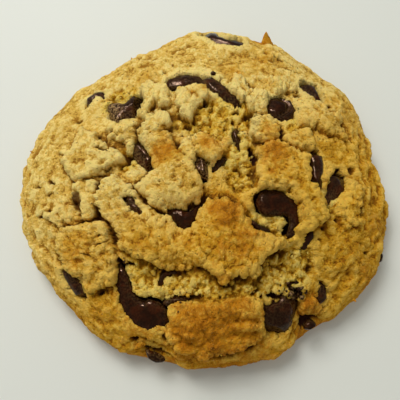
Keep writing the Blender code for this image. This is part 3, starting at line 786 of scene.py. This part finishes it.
crust = {
    # how far a crag's edge strays in long and in short waves, and those waves' widths, all in mm
    "edgeStray": 1.1, "edgeNotch": 0.4, "strayWidth": 3.4, "notchWidth": 1.3,
    "steeper": 1.04,                  # times the crags' rise
    "overhang": 0.22,                 # how far a steep edge leans out, as a share of its slope
    # heights and widths in mm of the crust's waves, from coarse to fine
    "swells": 0.63, "swellWidth": 6.0, "lumps": 0.30, "lumpWidth": 2.2, "grain": 0.32, "grainWidth": 0.95,
    # heights and widths in mm of the crust's round knobs, from coarse to fine
    "knobs": 0.24, "knobWidth": 2.7, "grit": 0.22, "gritWidth": 1.4,
    "calm": 0.45,                     # share of those heights that is left away from the crags
    # heights and widths in mm of the broken grain along the crags' edges and down their steep sides
    "raggedness": 0.62, "ragWidth": 1.3, "brokenSides": 0.55, "breakWidth": 1.6,
    # depth of the ragged cracks that break up the crust, and widths of the large and small plates between
    # them
    "cracks": 0.6, "largePlates": 5.2, "smallPlates": 3.1,
    # heights and widths in mm of the torn crumb, and how deep its holes are
    "crumbs": 1.3, "crumbWidth": 2.6, "smallCrumbs": 0.5, "smallCrumbWidth": 1.5, "crumbHoles": 0.9,
    # how far the edges of the torn ground and of the gaps stray, and in how wide waves, in mm
    "tearStray": (1.4, 4), "gapStray": (0.35, 1.1),
    # the wrinkles round the rim: height in mm, radians per mm up the rim, and how far swells stray them;
    # they fade in over the first heights over the table and out over the second, in mm
    "wrinkles": 0.5, "wrinkleTurns": (1.6, 3.7), "wrinkleStray": (5.0, 1.6), "wrinkleIn": (0.4, 2.2),
    "wrinkleOut": (19.0, 13.0),
}


def blurred(field, reach):
    # the mean over a square of 2*reach+1 cells, taken twice, from running sums
    for _ in range(2):
        for axis in (0, 1):
            margins = [(reach + 1, reach) if a == axis else (0, 0) for a in (0, 1)]
            padded = np.pad(field, margins, mode="edge")
            sums = np.cumsum(padded, axis)
            far = np.take(sums, range(2 * reach + 1, sums.shape[axis]), axis)
            near = np.take(sums, range(0, sums.shape[axis] - 2 * reach - 1), axis)
            field = (far - near) / (2 * reach + 1)
    return field


def cragRelief():
    # highest crag at a place: tilted rise * (1 - (1 - inside / rounding)^3)^0.5; also how far inside a crag
    # it is
    x, y = strayed(crust["edgeStray"], crust["strayWidth"], 11)
    x = x + crust["edgeNotch"] * swell(base, crust["notchWidth"], 13)
    y = y + crust["edgeNotch"] * swell(base, crust["notchWidth"], 14)
    height = np.zeros_like(x)
    nearest = np.full(x.shape, -99.0)
    for rise, rounding, tilt, outline in crags.values():
        inside = insideBy(x, y, outline)
        t = np.clip(inside / rounding, 0, 1)
        middle = np.mean(outline, 0)
        level = rise + tilt[0] * (planX - middle[0]) + tilt[1] * (planY - middle[1])
        height = np.maximum(height, crust["steeper"] * level * (1 - (1 - t) ** 3) ** 0.5)
        nearest = np.maximum(nearest, inside)
    return height, nearest


def crumbRelief():
    # torn crumb: ragged heads (0.7 - 1.6 F1^2) of strayed cells under fine swells, with some cells sunk as
    # holes
    moved = base + 0.7 * swell(base, 1.7, 23)[..., None] + 0.4 * swell(base, 0.9, 24)[..., None]
    first, _, number = grains(moved, crust["crumbWidth"], 21)
    sunk = ease(0.72, 0.78, number) * ease(0.45, 0.2, first)
    small = rough(base, crust["smallCrumbWidth"], 22, 3, 0.6)
    return (crust["crumbs"] * (0.7 - first ** 2 * 1.6) + crust["smallCrumbs"] * small
            - crust["crumbHoles"] * sunk)


def tornGround(bare):
    # how torn the ground is, 0 to 1, and how low it lies: the strongest of the strayed ovals, away from the
    # crags
    x, y = strayed(*crust["tearStray"], 31)
    torn = np.zeros_like(planX)
    low = np.zeros_like(planX)
    for tear in tears:
        opened = ease(1.15, 0.8, ovalShare(x, y, tear[:5]))
        torn = np.maximum(torn, opened)
        low = np.maximum(low, tear[5] * opened)
    return torn * bare, low * bare


def crackField():
    # 1 in a crack: where the nearest and second nearest cell points are equally far, in patches, in two
    # sizes
    straying = base + ((1.3 * swell(base, 3.0, 33) + 0.5 * swell(base, 1.2, 34))[..., None]
                       * np.array([1, -1, 0.5]))
    first, second, _ = grains(straying, crust["largePlates"], 35)
    large = ease(0.12, 0.0, second - first) * ease(-0.4, 0.2, swell(base, 7.0, 36))
    straying = straying + 0.4 * swell(base, 0.9, 37)[..., None]
    first, second, _ = grains(straying, crust["smallPlates"], 38)
    small = ease(0.12, 0.0, second - first) * ease(0.0, 0.4, swell(base, 5.0, 39))
    return np.maximum(large, 0.7 * small)


def knobField(width, stray, strayWidth, seed):
    # round knobs: 0.45 - F1^2 of cells that swells stray
    first, _, _ = grains(base + stray * swell(base, strayWidth, seed)[..., None], width, seed + 1)
    return 0.45 - first ** 2


def shapeCrust():
    # crags over the loaf, less the torn ground's depth; crust's skin where it isn't torn, crumb where it is
    cragged, inside = cragRelief()
    bare = ease(0.35, -0.25, inside)                 # where no crag covers the ground
    torn, low = tornGround(bare)
    onCrag = crust["calm"] + (1 - crust["calm"]) * ease(-2.0, 0.5, inside)
    swells = swell(base, crust["swellWidth"], 41)
    lumps = rough(base, crust["lumpWidth"], 42, 2)
    grain = rough(base, crust["grainWidth"], 45, 2)
    ragged = np.exp(-((inside - 0.4) / 1.3) ** 2) * rough(base, crust["ragWidth"], 53, 3, 0.6)
    skin = (crust["swells"] * swells
            + (0.35 + 0.65 * onCrag) * (crust["lumps"] * lumps + crust["grain"] * grain)
            + crust["knobs"] * onCrag * knobField(crust["knobWidth"], 0.9, 2.0, 46)
            + crust["grit"] * onCrag * knobField(crust["gritWidth"], 0.4, 1.1, 48)
            - crust["cracks"] * onCrag * crackField() + crust["raggedness"] * ragged)
    relief = cragged - low + skin * (1 - torn) + torn * (crumbRelief() + 0.3 * swells)
    return relief, torn


def crumbleSides(relief):
    # steep sides broken by swells read at the raised surface, so that they change down a side as well as
    # along it
    raised = base + baseNormal * relief[..., None]
    cell = 2 * loaf["radius"] / loaf["cells"]
    steep = np.hypot(np.gradient(relief, axis=0), np.gradient(relief, axis=1)) / cell
    broken = rough(raised * np.array([1, 1, 1.5]), crust["breakWidth"], 55, 3, 0.6)
    return relief + crust["brokenSides"] * ease(0.4, 1.3, blurred(steep, 1)) * (broken - 0.2)


relief, torn = shapeCrust()
relief = crumbleSides(relief)
print("crust shaped")


# how a chip is seated, in mm: half the box that it lies in; the band round it whose mean height is brought
# level with it, how far that reaches out and how far it stays below; how much deeper than the chip its pit
# is; heights and widths of its pit's ragged edge
seat = {"box": (16, 18), "band": (0.2, 2.2), "reach": 3.0, "below": 0.05, "pit": 1.6,
        "ragged": (0.55, 0.25), "raggedWidths": (1.8, 0.8)}


def settleChips(relief):
    # the ground round each chip comes level with it, by exp(-(away / reach)^2), then opens as a pit that the
    # chip lies in
    weight = np.zeros_like(relief)
    lift = np.zeros_like(relief)
    outside = {}
    for name, chip in chips.items():
        middle, axes, top = places[name]
        topPoint = middle + axes[2] * (top - chip["sunk"])
        near = np.argmin((planX - topPoint[0]) ** 2 + (planY - topPoint[1]) ** 2)
        b, n = base.reshape(-1, 3)[near], baseNormal.reshape(-1, 3)[near]
        level = float((topPoint - b) @ n)
        local = (base + baseNormal * level - middle) @ axes.T
        box = (np.abs(local[..., 0]) < seat["box"][0]) & (np.abs(local[..., 1]) < seat["box"][1])
        away = np.full(relief.shape, 99.0)
        away[box] = outsideChip(chip, local[..., 0][box], local[..., 1][box])
        outside[name] = away
        band = (away > seat["band"][0]) & (away < seat["band"][1])
        share = np.exp(-(np.maximum(away, 0) / seat["reach"]) ** 2)
        lift += share * (level - seat["below"] - relief[band].mean())
        weight += share
    relief = relief + lift / np.maximum(weight, 1)
    (coarse, fine), (wide, narrow) = seat["ragged"], seat["raggedWidths"]
    ragged = coarse * swell(base, wide, 51) + fine * swell(base, narrow, 52)
    nearest = np.full(relief.shape, 99.0)
    for name, chip in chips.items():
        gap = outside[name] + ragged
        relief = relief - (chip["deep"] + seat["pit"]) * ease(0.25, -0.45, gap)
        nearest = np.minimum(nearest, outside[name])
    return relief, nearest


def openGaps(relief):
    # each gap sinks by its depth inside its oval, with ragged sides, and is painted dark as shade; its
    # chocolate share stains the ground
    hollow = np.zeros_like(relief)
    stainAndShade = np.zeros_like(relief)
    x, y = strayed(*crust["gapStray"], 61)
    for gap in gaps:
        share = ovalShare(x, y, gap[:5])
        relief = relief - gap[5] * ease(1.2, 0.55, share)
        hollow = np.maximum(hollow, ease(1.15, 0.6, share))
        stainAndShade = np.maximum(stainAndShade, gap[6] * ease(1.15, 0.75, share))
    return relief, hollow, stainAndShade


relief, nearestChip = settleChips(relief)
relief, gapShade, stainAndShade = openGaps(relief)
print("chips settled and gaps opened")


def rimRelief(height):
    # wrinkles that run round the rim, in patches: sin(a * height + stray) + 0.5 sin(b * height + other
    # stray)
    low = ease(*crust["wrinkleOut"], height) * ease(*crust["wrinkleIn"], height)
    far, near = crust["wrinkleStray"]
    coarse, fine = crust["wrinkleTurns"]
    stray = far * swell(base, 9, 71) + near * swell(base, 3.5, 74)
    wrinkle = np.sin(height * coarse + stray) + 0.5 * np.sin(height * fine + far * swell(base, 5, 73))
    return low * crust["wrinkles"] * wrinkle * (0.1 + 0.9 * ease(-0.2, 0.5, swell(base, 8, 72)))


relief = relief + rimRelief(base[..., 2])
held = np.minimum(1, base[..., 2] / loaf["rimHeight"]) ** 2      # the relief fades out down to the foot
relief = relief * held

# how much the toasted places, what stands up, the rim and a drift are browned, and how much browner and
# darker the rim's front and the whole front are made; "spread" is how far past its reach a toasted place is
# brown, "stray" how far and in how wide waves its edge strays, in mm
browning = {"places": 0.85, "standing": 0.25, "rim": 0.12, "rimFront": 0.35, "front": 0.10, "drift": 0.07,
            "spread": 1.35, "stray": (2.0, 4.5)}
# toasted places: x, y, reach in mm, strength
toasts = [
    (-10, 2.4, 3.4, 0.75), (1.8, 3.6, 3.6, 0.75), (6, -15, 4.5, 1), (9.5, -21.5, 6.5, 0.7),
    (19.5, 0.8, 4.2, 0.8), (-31.5, -23, 5, 0.5), (2.5, -43, 11, 0.85), (-4, -44, 5, 0.4),
    (18.5, 7.5, 2.4, 0.6), (-0.5, 21.5, 2, 0.5), (28.5, -38, 3.4, 0.8), (38.5, 5, 5, 0.3),
    (25, -14, 3.5, 0.3), (-16, -23.5, 4, 0.45), (-5.5, -27.5, 6, 0.5), (-16.5, 28, 3, 0.3),
    (9, 30.5, 4, 0.35), (18.5, 35.5, 5, 0.4), (19, 50, 3.2, 0.8), (37.5, 22.5, 4, 0.3),
    (-26, -38, 5, 0.45), (-17, -44, 6, 0.5), (27, 9.5, 3, 0.2), (48, -14, 7, 0.5), (44, -26, 7, 0.55),
    (12, -50, 9, 0.6), (28, -44, 7, 0.35), (47, 5, 6, 0.35), (44, 20, 6, 0.3),
]


def toastField():
    # strength * exp(-(away / (spread * reach))^2) round each toasted place, more on what stands up, and the
    # rim's own brown line
    field = np.zeros_like(relief)
    x, y = strayed(*browning["stray"], 82)
    for middleX, middleY, reach, strength in toasts:
        away = (x - middleX) ** 2 + (y - middleY) ** 2
        heat = browning["places"] * strength * np.exp(-away / (browning["spread"] * reach) ** 2)
        field = np.maximum(field, heat)
    standing = np.clip(relief - blurred(relief, 8), -1, 1)
    rim = ease(9.0, 2.5, base[..., 2])
    front = ease(-10, -50, planY)
    # the rim's front and the whole front are made browner and darker
    return (field * (1 + browning["standing"] * standing)
            + rim * (browning["rim"] + browning["rimFront"] * front) + browning["front"] * front
            + browning["drift"] * swell(base, 9, 81))


# the underside, in mm: depths and widths of its shallow pits and of its waves, how high it lies over the
# table and how high its middle point lies
under = {"pits": 0.45, "pitWidth": 8.0, "waves": 0.12, "waveWidth": 5.0, "lift": 0.02, "middle": 0.15}


def bottomRings(foot):
    # rings drawn in from the foot: foot * share in plan, pits * ease(swells) + waves * (1 + swell) upwards
    shares = np.linspace(1, 0, loaf["bottomRings"] + 1)[1:-1] ** 0.8
    rings = foot[None] * np.array([1, 1, 0])
    rings = rings * shares[:, None, None]
    pits = (under["pits"] * ease(0.0, 0.7, rough(rings, under["pitWidth"], 91, 2))
            + under["waves"] * (1 + swell(rings, under["waveWidth"], 92)))
    rings[..., 2] = pits * ease(1.0, 0.94, shares)[:, None] + under["lift"]
    return rings


def crustPoints():
    # loaf + normal * relief, and steep upper edges leaned out against their slope, for a slight overhang
    slopeAlong, slopeAcross = np.gradient(relief)
    stepAlong, stepAcross = np.gradient(base, axis=0), np.gradient(base, axis=1)
    areaAlong = np.maximum((stepAlong ** 2).sum(-1), 0.01)
    areaAcross = np.maximum((stepAcross ** 2).sum(-1), 0.01)
    slope = (stepAcross * (slopeAcross / areaAcross)[..., None]
             + stepAlong * (slopeAlong / areaAlong)[..., None])
    steepness = np.linalg.norm(slope, axis=-1)
    slope = slope * (np.minimum(steepness, 2.2) / np.maximum(steepness, 1e-6))[..., None]
    upper = ease(-0.2, 0.6, relief - blurred(relief, 4))
    return base + baseNormal * relief[..., None] - slope * (crust["overhang"] * upper * held)[..., None]


# painted shade: how dark the crust's narrow dips, its wide dips and the gaps are painted; how much of that
# and of the browning the torn crumb takes away; the least and the added chocolate smear, partly painted
# shade, beside a chip, and the smear and painted shade under it
shading = {"narrow": 0.85, "wide": 0.3, "gaps": 0.85, "tornLight": 0.25, "tornPale": 0.75,
           "smearAndShade": (0.30, 0.5), "shadeAndSmearUnder": 0.9}


def paintDough(piece, spare):
    # what the dough's material reads: each number over the crust, and its value on the underside's spare
    # points
    rings = spare[:-1]
    # painted shade: darker where the crust lies below its surroundings, in narrow and wide dips, and in the
    # gaps
    sunk = blurred(relief, 6) - relief
    deep = blurred(relief, 14) - relief
    dark = np.clip(ease(0.2, 1.6, sunk) * shading["narrow"] + ease(0.8, 3.2, deep) * shading["wide"], 0, 1)
    dark = np.maximum(dark * (1 - shading["tornLight"] * torn), shading["gaps"] * gapShade)
    toasted = toastField() * (1 - shading["tornPale"] * torn)
    # chocolate smear beside the chips, laid only in dips, and under them: partly painted shade
    least, added = shading["smearAndShade"]
    smearAndShade = ease(1.1, 0.1, nearestChip) * (least + added * ease(-0.1, 0.5, swell(base, 2.2, 96)))
    smearAndShade = np.maximum(smearAndShade * ease(-0.1, 0.6, sunk), shading["shadeAndSmearUnder"] * ease(-0.1, -0.7, nearestChip))
    golden = np.clip(ease(-0.35, 0.55, towardsFront) + 0.25 * swell(base, 12, 98), 0, 1)
    # painted light: how far a place stands over its surroundings, which the material turns paler
    standing = np.clip((relief - blurred(relief, 3)) / 0.5, -1, 1)
    brownUnder = np.append(0.75 + 0.3 * swell(rings, 8, 97), 0.7)
    paints = {"toasted": (np.maximum(toasted, 0), brownUnder), "torn": (torn, 0), "hollow": (dark, 0),
              "stainAndShade": (np.maximum(stainAndShade * 0.9, smearAndShade), 0), "golden": (golden, 1), "standing": (standing, 0)}
    for name, (above, under) in paints.items():
        paint(piece, name, np.concatenate([above.ravel(), np.broadcast_to(under, len(spare))]))


def makeDough():
    # the crust's grid, rings in from its edge along the underside, and a fan to the underside's middle point
    points = crustPoints()
    n = loaf["cells"]
    index = np.arange((n + 1) ** 2).reshape(n + 1, n + 1)
    edge = np.concatenate([index[0, :-1], index[:-1, -1], index[-1, :0:-1], index[:0:-1, 0]])
    flat = points.reshape(-1, 3)
    rings = bottomRings(flat[edge])
    count = len(edge)
    spare = np.concatenate([rings.reshape(-1, 3), [[0, 0, under["middle"]]]])
    ringIndex = np.concatenate([edge[None], len(flat) + np.arange(rings.shape[0] * count).reshape(-1, count)])
    below = ringIndex.ravel()[gridFaces(len(ringIndex), count, closed=True)]
    pole = np.full(count, len(flat) + len(spare) - 1)
    fan = np.stack([ringIndex[-1], np.roll(ringIndex[-1], -1), pole], -1)
    piece = makePiece("doughCrust", np.concatenate([flat, spare]) * mm,
                      [gridFaces(n + 1, n + 1), below[:, ::-1], fan[:, ::-1]], doughSkin)
    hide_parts("dough")
    paintDough(piece, spare)
    return piece, points


towardsFront = (0.5 * planX - 0.87 * planY) / loaf["radius"]     # -1 at the back left, 1 at the front right
dough, doughPoints = makeDough()
print("dough made,", len(dough.data.polygons), "faces")


def closedFaces(rows, columns):
    # a grid whose first and last rows have shrunk to a point each: fans at the ends and quads between
    inner = gridFaces(rows - 2, columns, closed=True)
    around = np.arange(columns)
    following = (around + 1) % columns
    first, last = (rows - 2) * columns, (rows - 2) * columns + 1
    start = np.stack([np.full(columns, first), following, around], -1)
    lastRow = (rows - 3) * columns
    end = np.stack([np.full(columns, last), lastRow + around, lastRow + following], -1)
    return [inner, np.concatenate([start, end])]


def outwards(points, faceSets):
    # turns every face over if the shell they make is inside out, told by the sign of its volume
    volume = 0
    for faces in faceSets:
        a, b, c = points[faces[:, 0]], points[faces[:, 1]], points[faces[:, 2]]
        volume += np.einsum("ij,ij->i", a, np.cross(b, c)).sum()
        if faces.shape[1] == 4:
            d = points[faces[:, 3]]
            volume += np.einsum("ij,ij->i", a, np.cross(c, d)).sum()
    return [faces[:, ::-1] for faces in faceSets] if volume < 0 else faceSets


def makeChip(name, chip, seed):
    # a spine or outline surface, broken, grooved and roughened, then laid on its node's place and the loaf's
    # bend
    middle, axes, top = places[name]
    surface = (spineSurface(chip["spine"], chip["deep"]) if "spine" in chip
               else outlineSurface(chip["outline"], chip["deep"]))
    surface = surface * np.array([chipMesh["grow"], chipMesh["grow"], 1])
    surface = breakFacets(surface, chip["facets"], 300 + seed)
    if "groove" in chip:
        surface = grooved(surface, chip["groove"])
    shift = np.array([17.0 * seed, 0, 0])             # so that no two chips are rough in the same way
    uneven = chipMesh["uneven"] * rough(surface + shift, chipMesh["unevenWidth"], 301, 2)
    surface = surface + uneven[..., None] * np.array([0.5, 0.5, 1])
    rows, columns = surface.shape[:2]
    local = np.concatenate([surface[1:-1].reshape(-1, 3), surface[:1].mean(1), surface[-1:].mean(1)])
    local[:, 2] += top - chip["sunk"] - local[:, 2].max()
    points = middle + local @ axes
    plane = middle + local[:, :2] @ axes[:2]
    bend = loafTop(plane[:, 0], plane[:, 1]) - loafTop(middle[0], middle[1]) - (plane[:, 2] - middle[2])
    points[:, 2] += np.clip(bend, *chipMesh["sag"])
    faceSets = outwards(local, closedFaces(rows, columns))
    piece = makePiece(name, points * mm, faceSets, chocolate)
    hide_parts(*chip["nodes"])
    edge = ease(0.2, -1.6, local[:, 2] - local[:, 2].max())
    dusted = np.clip(chip["dusted"] * (0.5 + 0.9 * edge) + 0.12 * edge, 0, 1)
    if name == "chipLeftBroken":                      # its left half is smeared with dough
        dusted = np.maximum(dusted, 0.75 * ease(1.5, -2.5, local[:, 0]))
    paint(piece, "dusted", dusted)
    return piece


for seed, (name, chip) in enumerate(chips.items()):
    makeChip(name, chip, seed)
print("chocolate made")


# loose bits: how many crumbs lie on torn ground and their least and greatest size; patches of broken
# chocolate as x, y, reach, count, size; thin shreds of crust as x, y, length, half width and the way they
# point as x, y, up; all lengths in mm
bits = {
    "crumbs": 170, "crumbSmall": 0.3, "crumbLarge": 0.9,
    "patches": [(24.6, -34.6, 2.2, 60, 0.9), (1.4, 25.2, 1.5, 26, 0.95), (21, -36, 2.6, 24, 0.6),
                (-6, -36.5, 2.2, 12, 0.45), (36, -6, 1.6, 10, 0.5), (-20, -27, 1.6, 12, 0.5),
                (-25.5, 19, 2.2, 14, 0.5)],
    "shreds": [(20.9, 46.2, 4.8, 2.2, -0.1, 0.8, 0.6), (-16.5, -47.5, 3.4, 1.3, -0.7, -0.7, 0.25),
               (40.5, -34.5, 2.2, 0.8, 0.6, -0.9, 0.2), (-13, -50.5, 2.6, 1.0, 0.2, -1.0, 0.2),
               (-50.0, 8.0, 1.4, 0.6, -1.0, 0.2, 0.2), (-24, 44.5, 1.8, 0.8, -0.5, 0.8, 0.4)],
}


def pebble():
    # a coarse ball: a pole, three rings of seven corners an eighth of a turn apart, and a pole
    rise = np.cos(np.linspace(0, math.pi, 5))[1:-1]
    around = np.arange(7) / 7 * 2 * math.pi
    flat = np.sqrt(1 - rise * rise)
    rings = np.stack([flat[:, None] * np.cos(around), flat[:, None] * np.sin(around),
                      np.broadcast_to(rise[:, None], (3, 7))], -1)
    points = np.concatenate([rings.reshape(-1, 3), [[0, 0, 1], [0, 0, -1]]])
    return points, outwards(points, closedFaces(5, 7))


def scatter(name, spots, sizes, material, seed):
    # a pebble at each of the crust's numbered points: its corners jittered, stretched and turned at random,
    # and lifted a quarter of its size along the loaf's normal
    random = np.random.default_rng(seed)
    points, faceSets = pebble()
    centres, normals = (field.reshape(-1, 3)[spots] for field in (doughPoints, baseNormal))
    count = len(spots)
    stretch = random.uniform(0.6, 1.3, (count, 3)) * sizes[:, None]
    jitter = random.uniform(0.6, 1.3, (count, len(points), 1))
    body = points[None] * jitter * stretch[:, None]
    axes = np.linalg.qr(random.normal(size=(count, 3, 3)))[0]
    axes *= np.sign(np.linalg.det(axes))[:, None, None]
    placed = np.einsum("nij,nkj->nki", axes, body) + (centres + normals * sizes[:, None] * 0.25)[:, None]
    every = np.arange(count)[:, None, None] * len(points)
    sets = [(faces[None] + every).reshape(-1, faces.shape[1]) for faces in faceSets]
    return makePiece(name, placed.reshape(-1, 3) * mm, sets, material), len(points)


def nearestSpot(x, y, lowest):
    # number of the loaf's point nearest to a place in plan, of those at least `lowest` mm high
    return np.argmin((planX - x) ** 2 + (planY - y) ** 2 + 1e6 * (base[..., 2] < lowest))


def makeCrumbs():
    # most crumbs lie on torn ground away from the chips, a few anywhere on top; few are large: random^2.2
    random = np.random.default_rng(71)
    shares = (torn * (nearestChip > 0.6) * (base[..., 2] > 8)).ravel() + 0.012 * (base[..., 2] > 9).ravel()
    chosen = random.choice(shares.size, bits["crumbs"], p=shares / shares.sum())
    small, large = bits["crumbSmall"], bits["crumbLarge"]
    sizes = random.uniform(0, 1, len(chosen)) ** 2.2 * (large - small) + small
    sizes = sizes * np.where(torn.ravel()[chosen] > 0.4, 1, 0.55)
    piece, corners = scatter("crumbs", chosen, sizes, doughSkin, 72)
    paint(piece, "torn", np.repeat(ease(-0.2, 0.4, torn.ravel()[chosen]), corners))
    paint(piece, "golden", np.repeat(ease(-0.35, 0.55, towardsFront.ravel()[chosen]), corners))
    paint(piece, "standing", np.repeat(random.uniform(-0.6, 1.0, len(chosen)), corners))
    paint(piece, "toasted", np.repeat(random.uniform(0, 1, len(chosen)) ** 4 * 0.6, corners))


def makeChocolateCrumbs():
    # each patch's splinters lie normally spread round its middle
    random = np.random.default_rng(73)
    spots, sizes = [], []
    for x, y, reach, count, size in bits["patches"]:
        where = random.normal(0, reach * 0.5, (count, 2)) + (x, y)
        for px, py in where:
            spots.append(nearestSpot(px, py, 5))
        sizes.extend(random.uniform(0.35, 1.0, count) * size)
    spots, sizes = np.array(spots), np.array(sizes)
    piece, corners = scatter("chocolateCrumbs", spots, sizes, chocolate, 74)
    paint(piece, "dusted", np.repeat(random.uniform(0, 1, len(spots)) ** 2 * 0.7, corners))


def makeShreds():
    # a bent cone for each shred: half width * (1 - t^1.3)^0.8 round a line that curls upwards, roughened by
    # swells
    t = np.linspace(0, 1, 14)[:, None]
    around = np.linspace(0, 2 * math.pi, 14, endpoint=False)[None]
    allPoints, sets, done = [], [], 0
    for number, (x, y, length, half, dx, dy, dz) in enumerate(bits["shreds"]):
        foot = doughPoints.reshape(-1, 3)[nearestSpot(x, y, 4)]
        way = np.array([dx, dy, dz]) / math.hypot(dx, dy, dz)
        side = np.cross(way, [0, 0, 1.0])
        side /= np.linalg.norm(side)
        rise = np.cross(side, way)
        line = foot + way * (t * length - 0.8) + rise * (0.5 * t * t)
        radius = half * (1 - t ** 1.3) ** 0.8
        wall = (line[:, None] + radius[..., None] * (np.cos(around)[..., None] * side
                                                     + 0.55 * np.sin(around)[..., None] * rise))
        wall = wall + 0.25 * np.minimum(1, radius)[..., None] * rough(wall, 1.3, 400 + number, 2)[..., None]
        points = np.concatenate([wall[1:-1].reshape(-1, 3), wall[:1].mean(1), wall[-1:].mean(1)])
        sets.append([faces + done for faces in outwards(points - foot, closedFaces(14, 14))])
        done += len(points)
        allPoints.append(points)
    faces = [np.concatenate([part[k] for part in sets]) for k in (0, 1)]
    piece = makePiece("shreds", np.concatenate(allPoints) * mm, faces, doughSkin)
    paint(piece, "toasted", np.full(done, 0.5))
    paint(piece, "golden", np.full(done, 0.7))


makeCrumbs()
makeChocolateCrumbs()
makeShreds()
print("crumbs and shreds made")


# table, sky and lamps: lengths and places in metres, power in watts; "drop" is how far the table lies under
# the cookie's foot and "driftWidth" the width of its faint clouds, in mm
stage = {"size": 3.0, "drop": 0.02, "colour": sRgb(226, 227, 216), "driftWidth": 90,
         "sky": sRgb(236, 238, 236), "skyStrength": 0.45, "lampAt": (-0.25, 0.36, 0.63),
         "lampPower": 3.95, "lampSize": 0.42, "glintPower": 6.0, "glintSize": 0.06}


def makeFloor():
    g = Graph("paleTable")
    at = g.place()
    drift = g.noise(at, stage["driftWidth"], 2)
    shade = g.mix(drift, stage["colour"], tuple(c * 0.97 for c in stage["colour"]))
    material = g.finish({"Base Color": shade, "Roughness": 0.7 + (drift - 0.5) * 0.1})
    half = stage["size"] / 2
    mesh = bpy.data.meshes.new("table")
    low = -stage["drop"] * mm
    corners = [(-half, -half, low), (half, -half, low), (half, half, low), (-half, half, low)]
    mesh.from_pydata(corners, [], [(0, 1, 2, 3)])
    mesh.materials.append(material)
    table = bpy.data.objects.new("table", mesh)
    bpy.context.scene.collection.objects.link(table)


def makeLight():
    world = bpy.data.worlds.new("softRoom")
    bpy.context.scene.world = world
    world.use_nodes = True
    sky = world.node_tree.nodes["Background"]
    sky.inputs["Color"].default_value = (*stage["sky"], 1)
    sky.inputs["Strength"].default_value = stage["skyStrength"]
    for name, power, size in (("softWindow", stage["lampPower"], stage["lampSize"]),
                              ("glint", stage["glintPower"], stage["glintSize"])):
        lamp = bpy.data.lights.new(name, "AREA")
        lamp.energy = power
        lamp.size = size
        made = bpy.data.objects.new(name, lamp)
        made.visible_diffuse = name != "glint"       # the glint only shows as a highlight on chocolate
        made.visible_glossy = name == "glint"        # and the wide lamp doesn't grey it over
        made.location = stage["lampAt"]
        made.rotation_euler = (-made.location).to_track_quat("-Z", "Y").to_euler()
        bpy.context.scene.collection.objects.link(made)


# the eye: tilt off the plumb line in degrees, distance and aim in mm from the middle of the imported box's
# foot
eye = {"tilt": 20, "distance": 145, "lens": 45, "aim": (-0.6, -6.1, 7.0)}


def makeCamera():
    middle = (cadLow + cadHigh) / 2
    aim = middle.xy.to_3d() + type(middle)(eye["aim"]) * mm
    tilt = math.radians(eye["tilt"])
    back = type(middle)((0, -math.sin(tilt), math.cos(tilt)))
    lens = bpy.data.cameras.new("eye")
    lens.lens = eye["lens"]
    lens.clip_start = 0.01
    made = bpy.data.objects.new("eye", lens)
    made.location = aim + back * eye["distance"] * mm
    made.rotation_euler = (tilt, 0, 0)
    bpy.context.scene.collection.objects.link(made)
    bpy.context.scene.camera = made


makeFloor()
makeLight()
makeCamera()
bpy.context.scene.view_settings.view_transform = "Standard"
print("stage set")
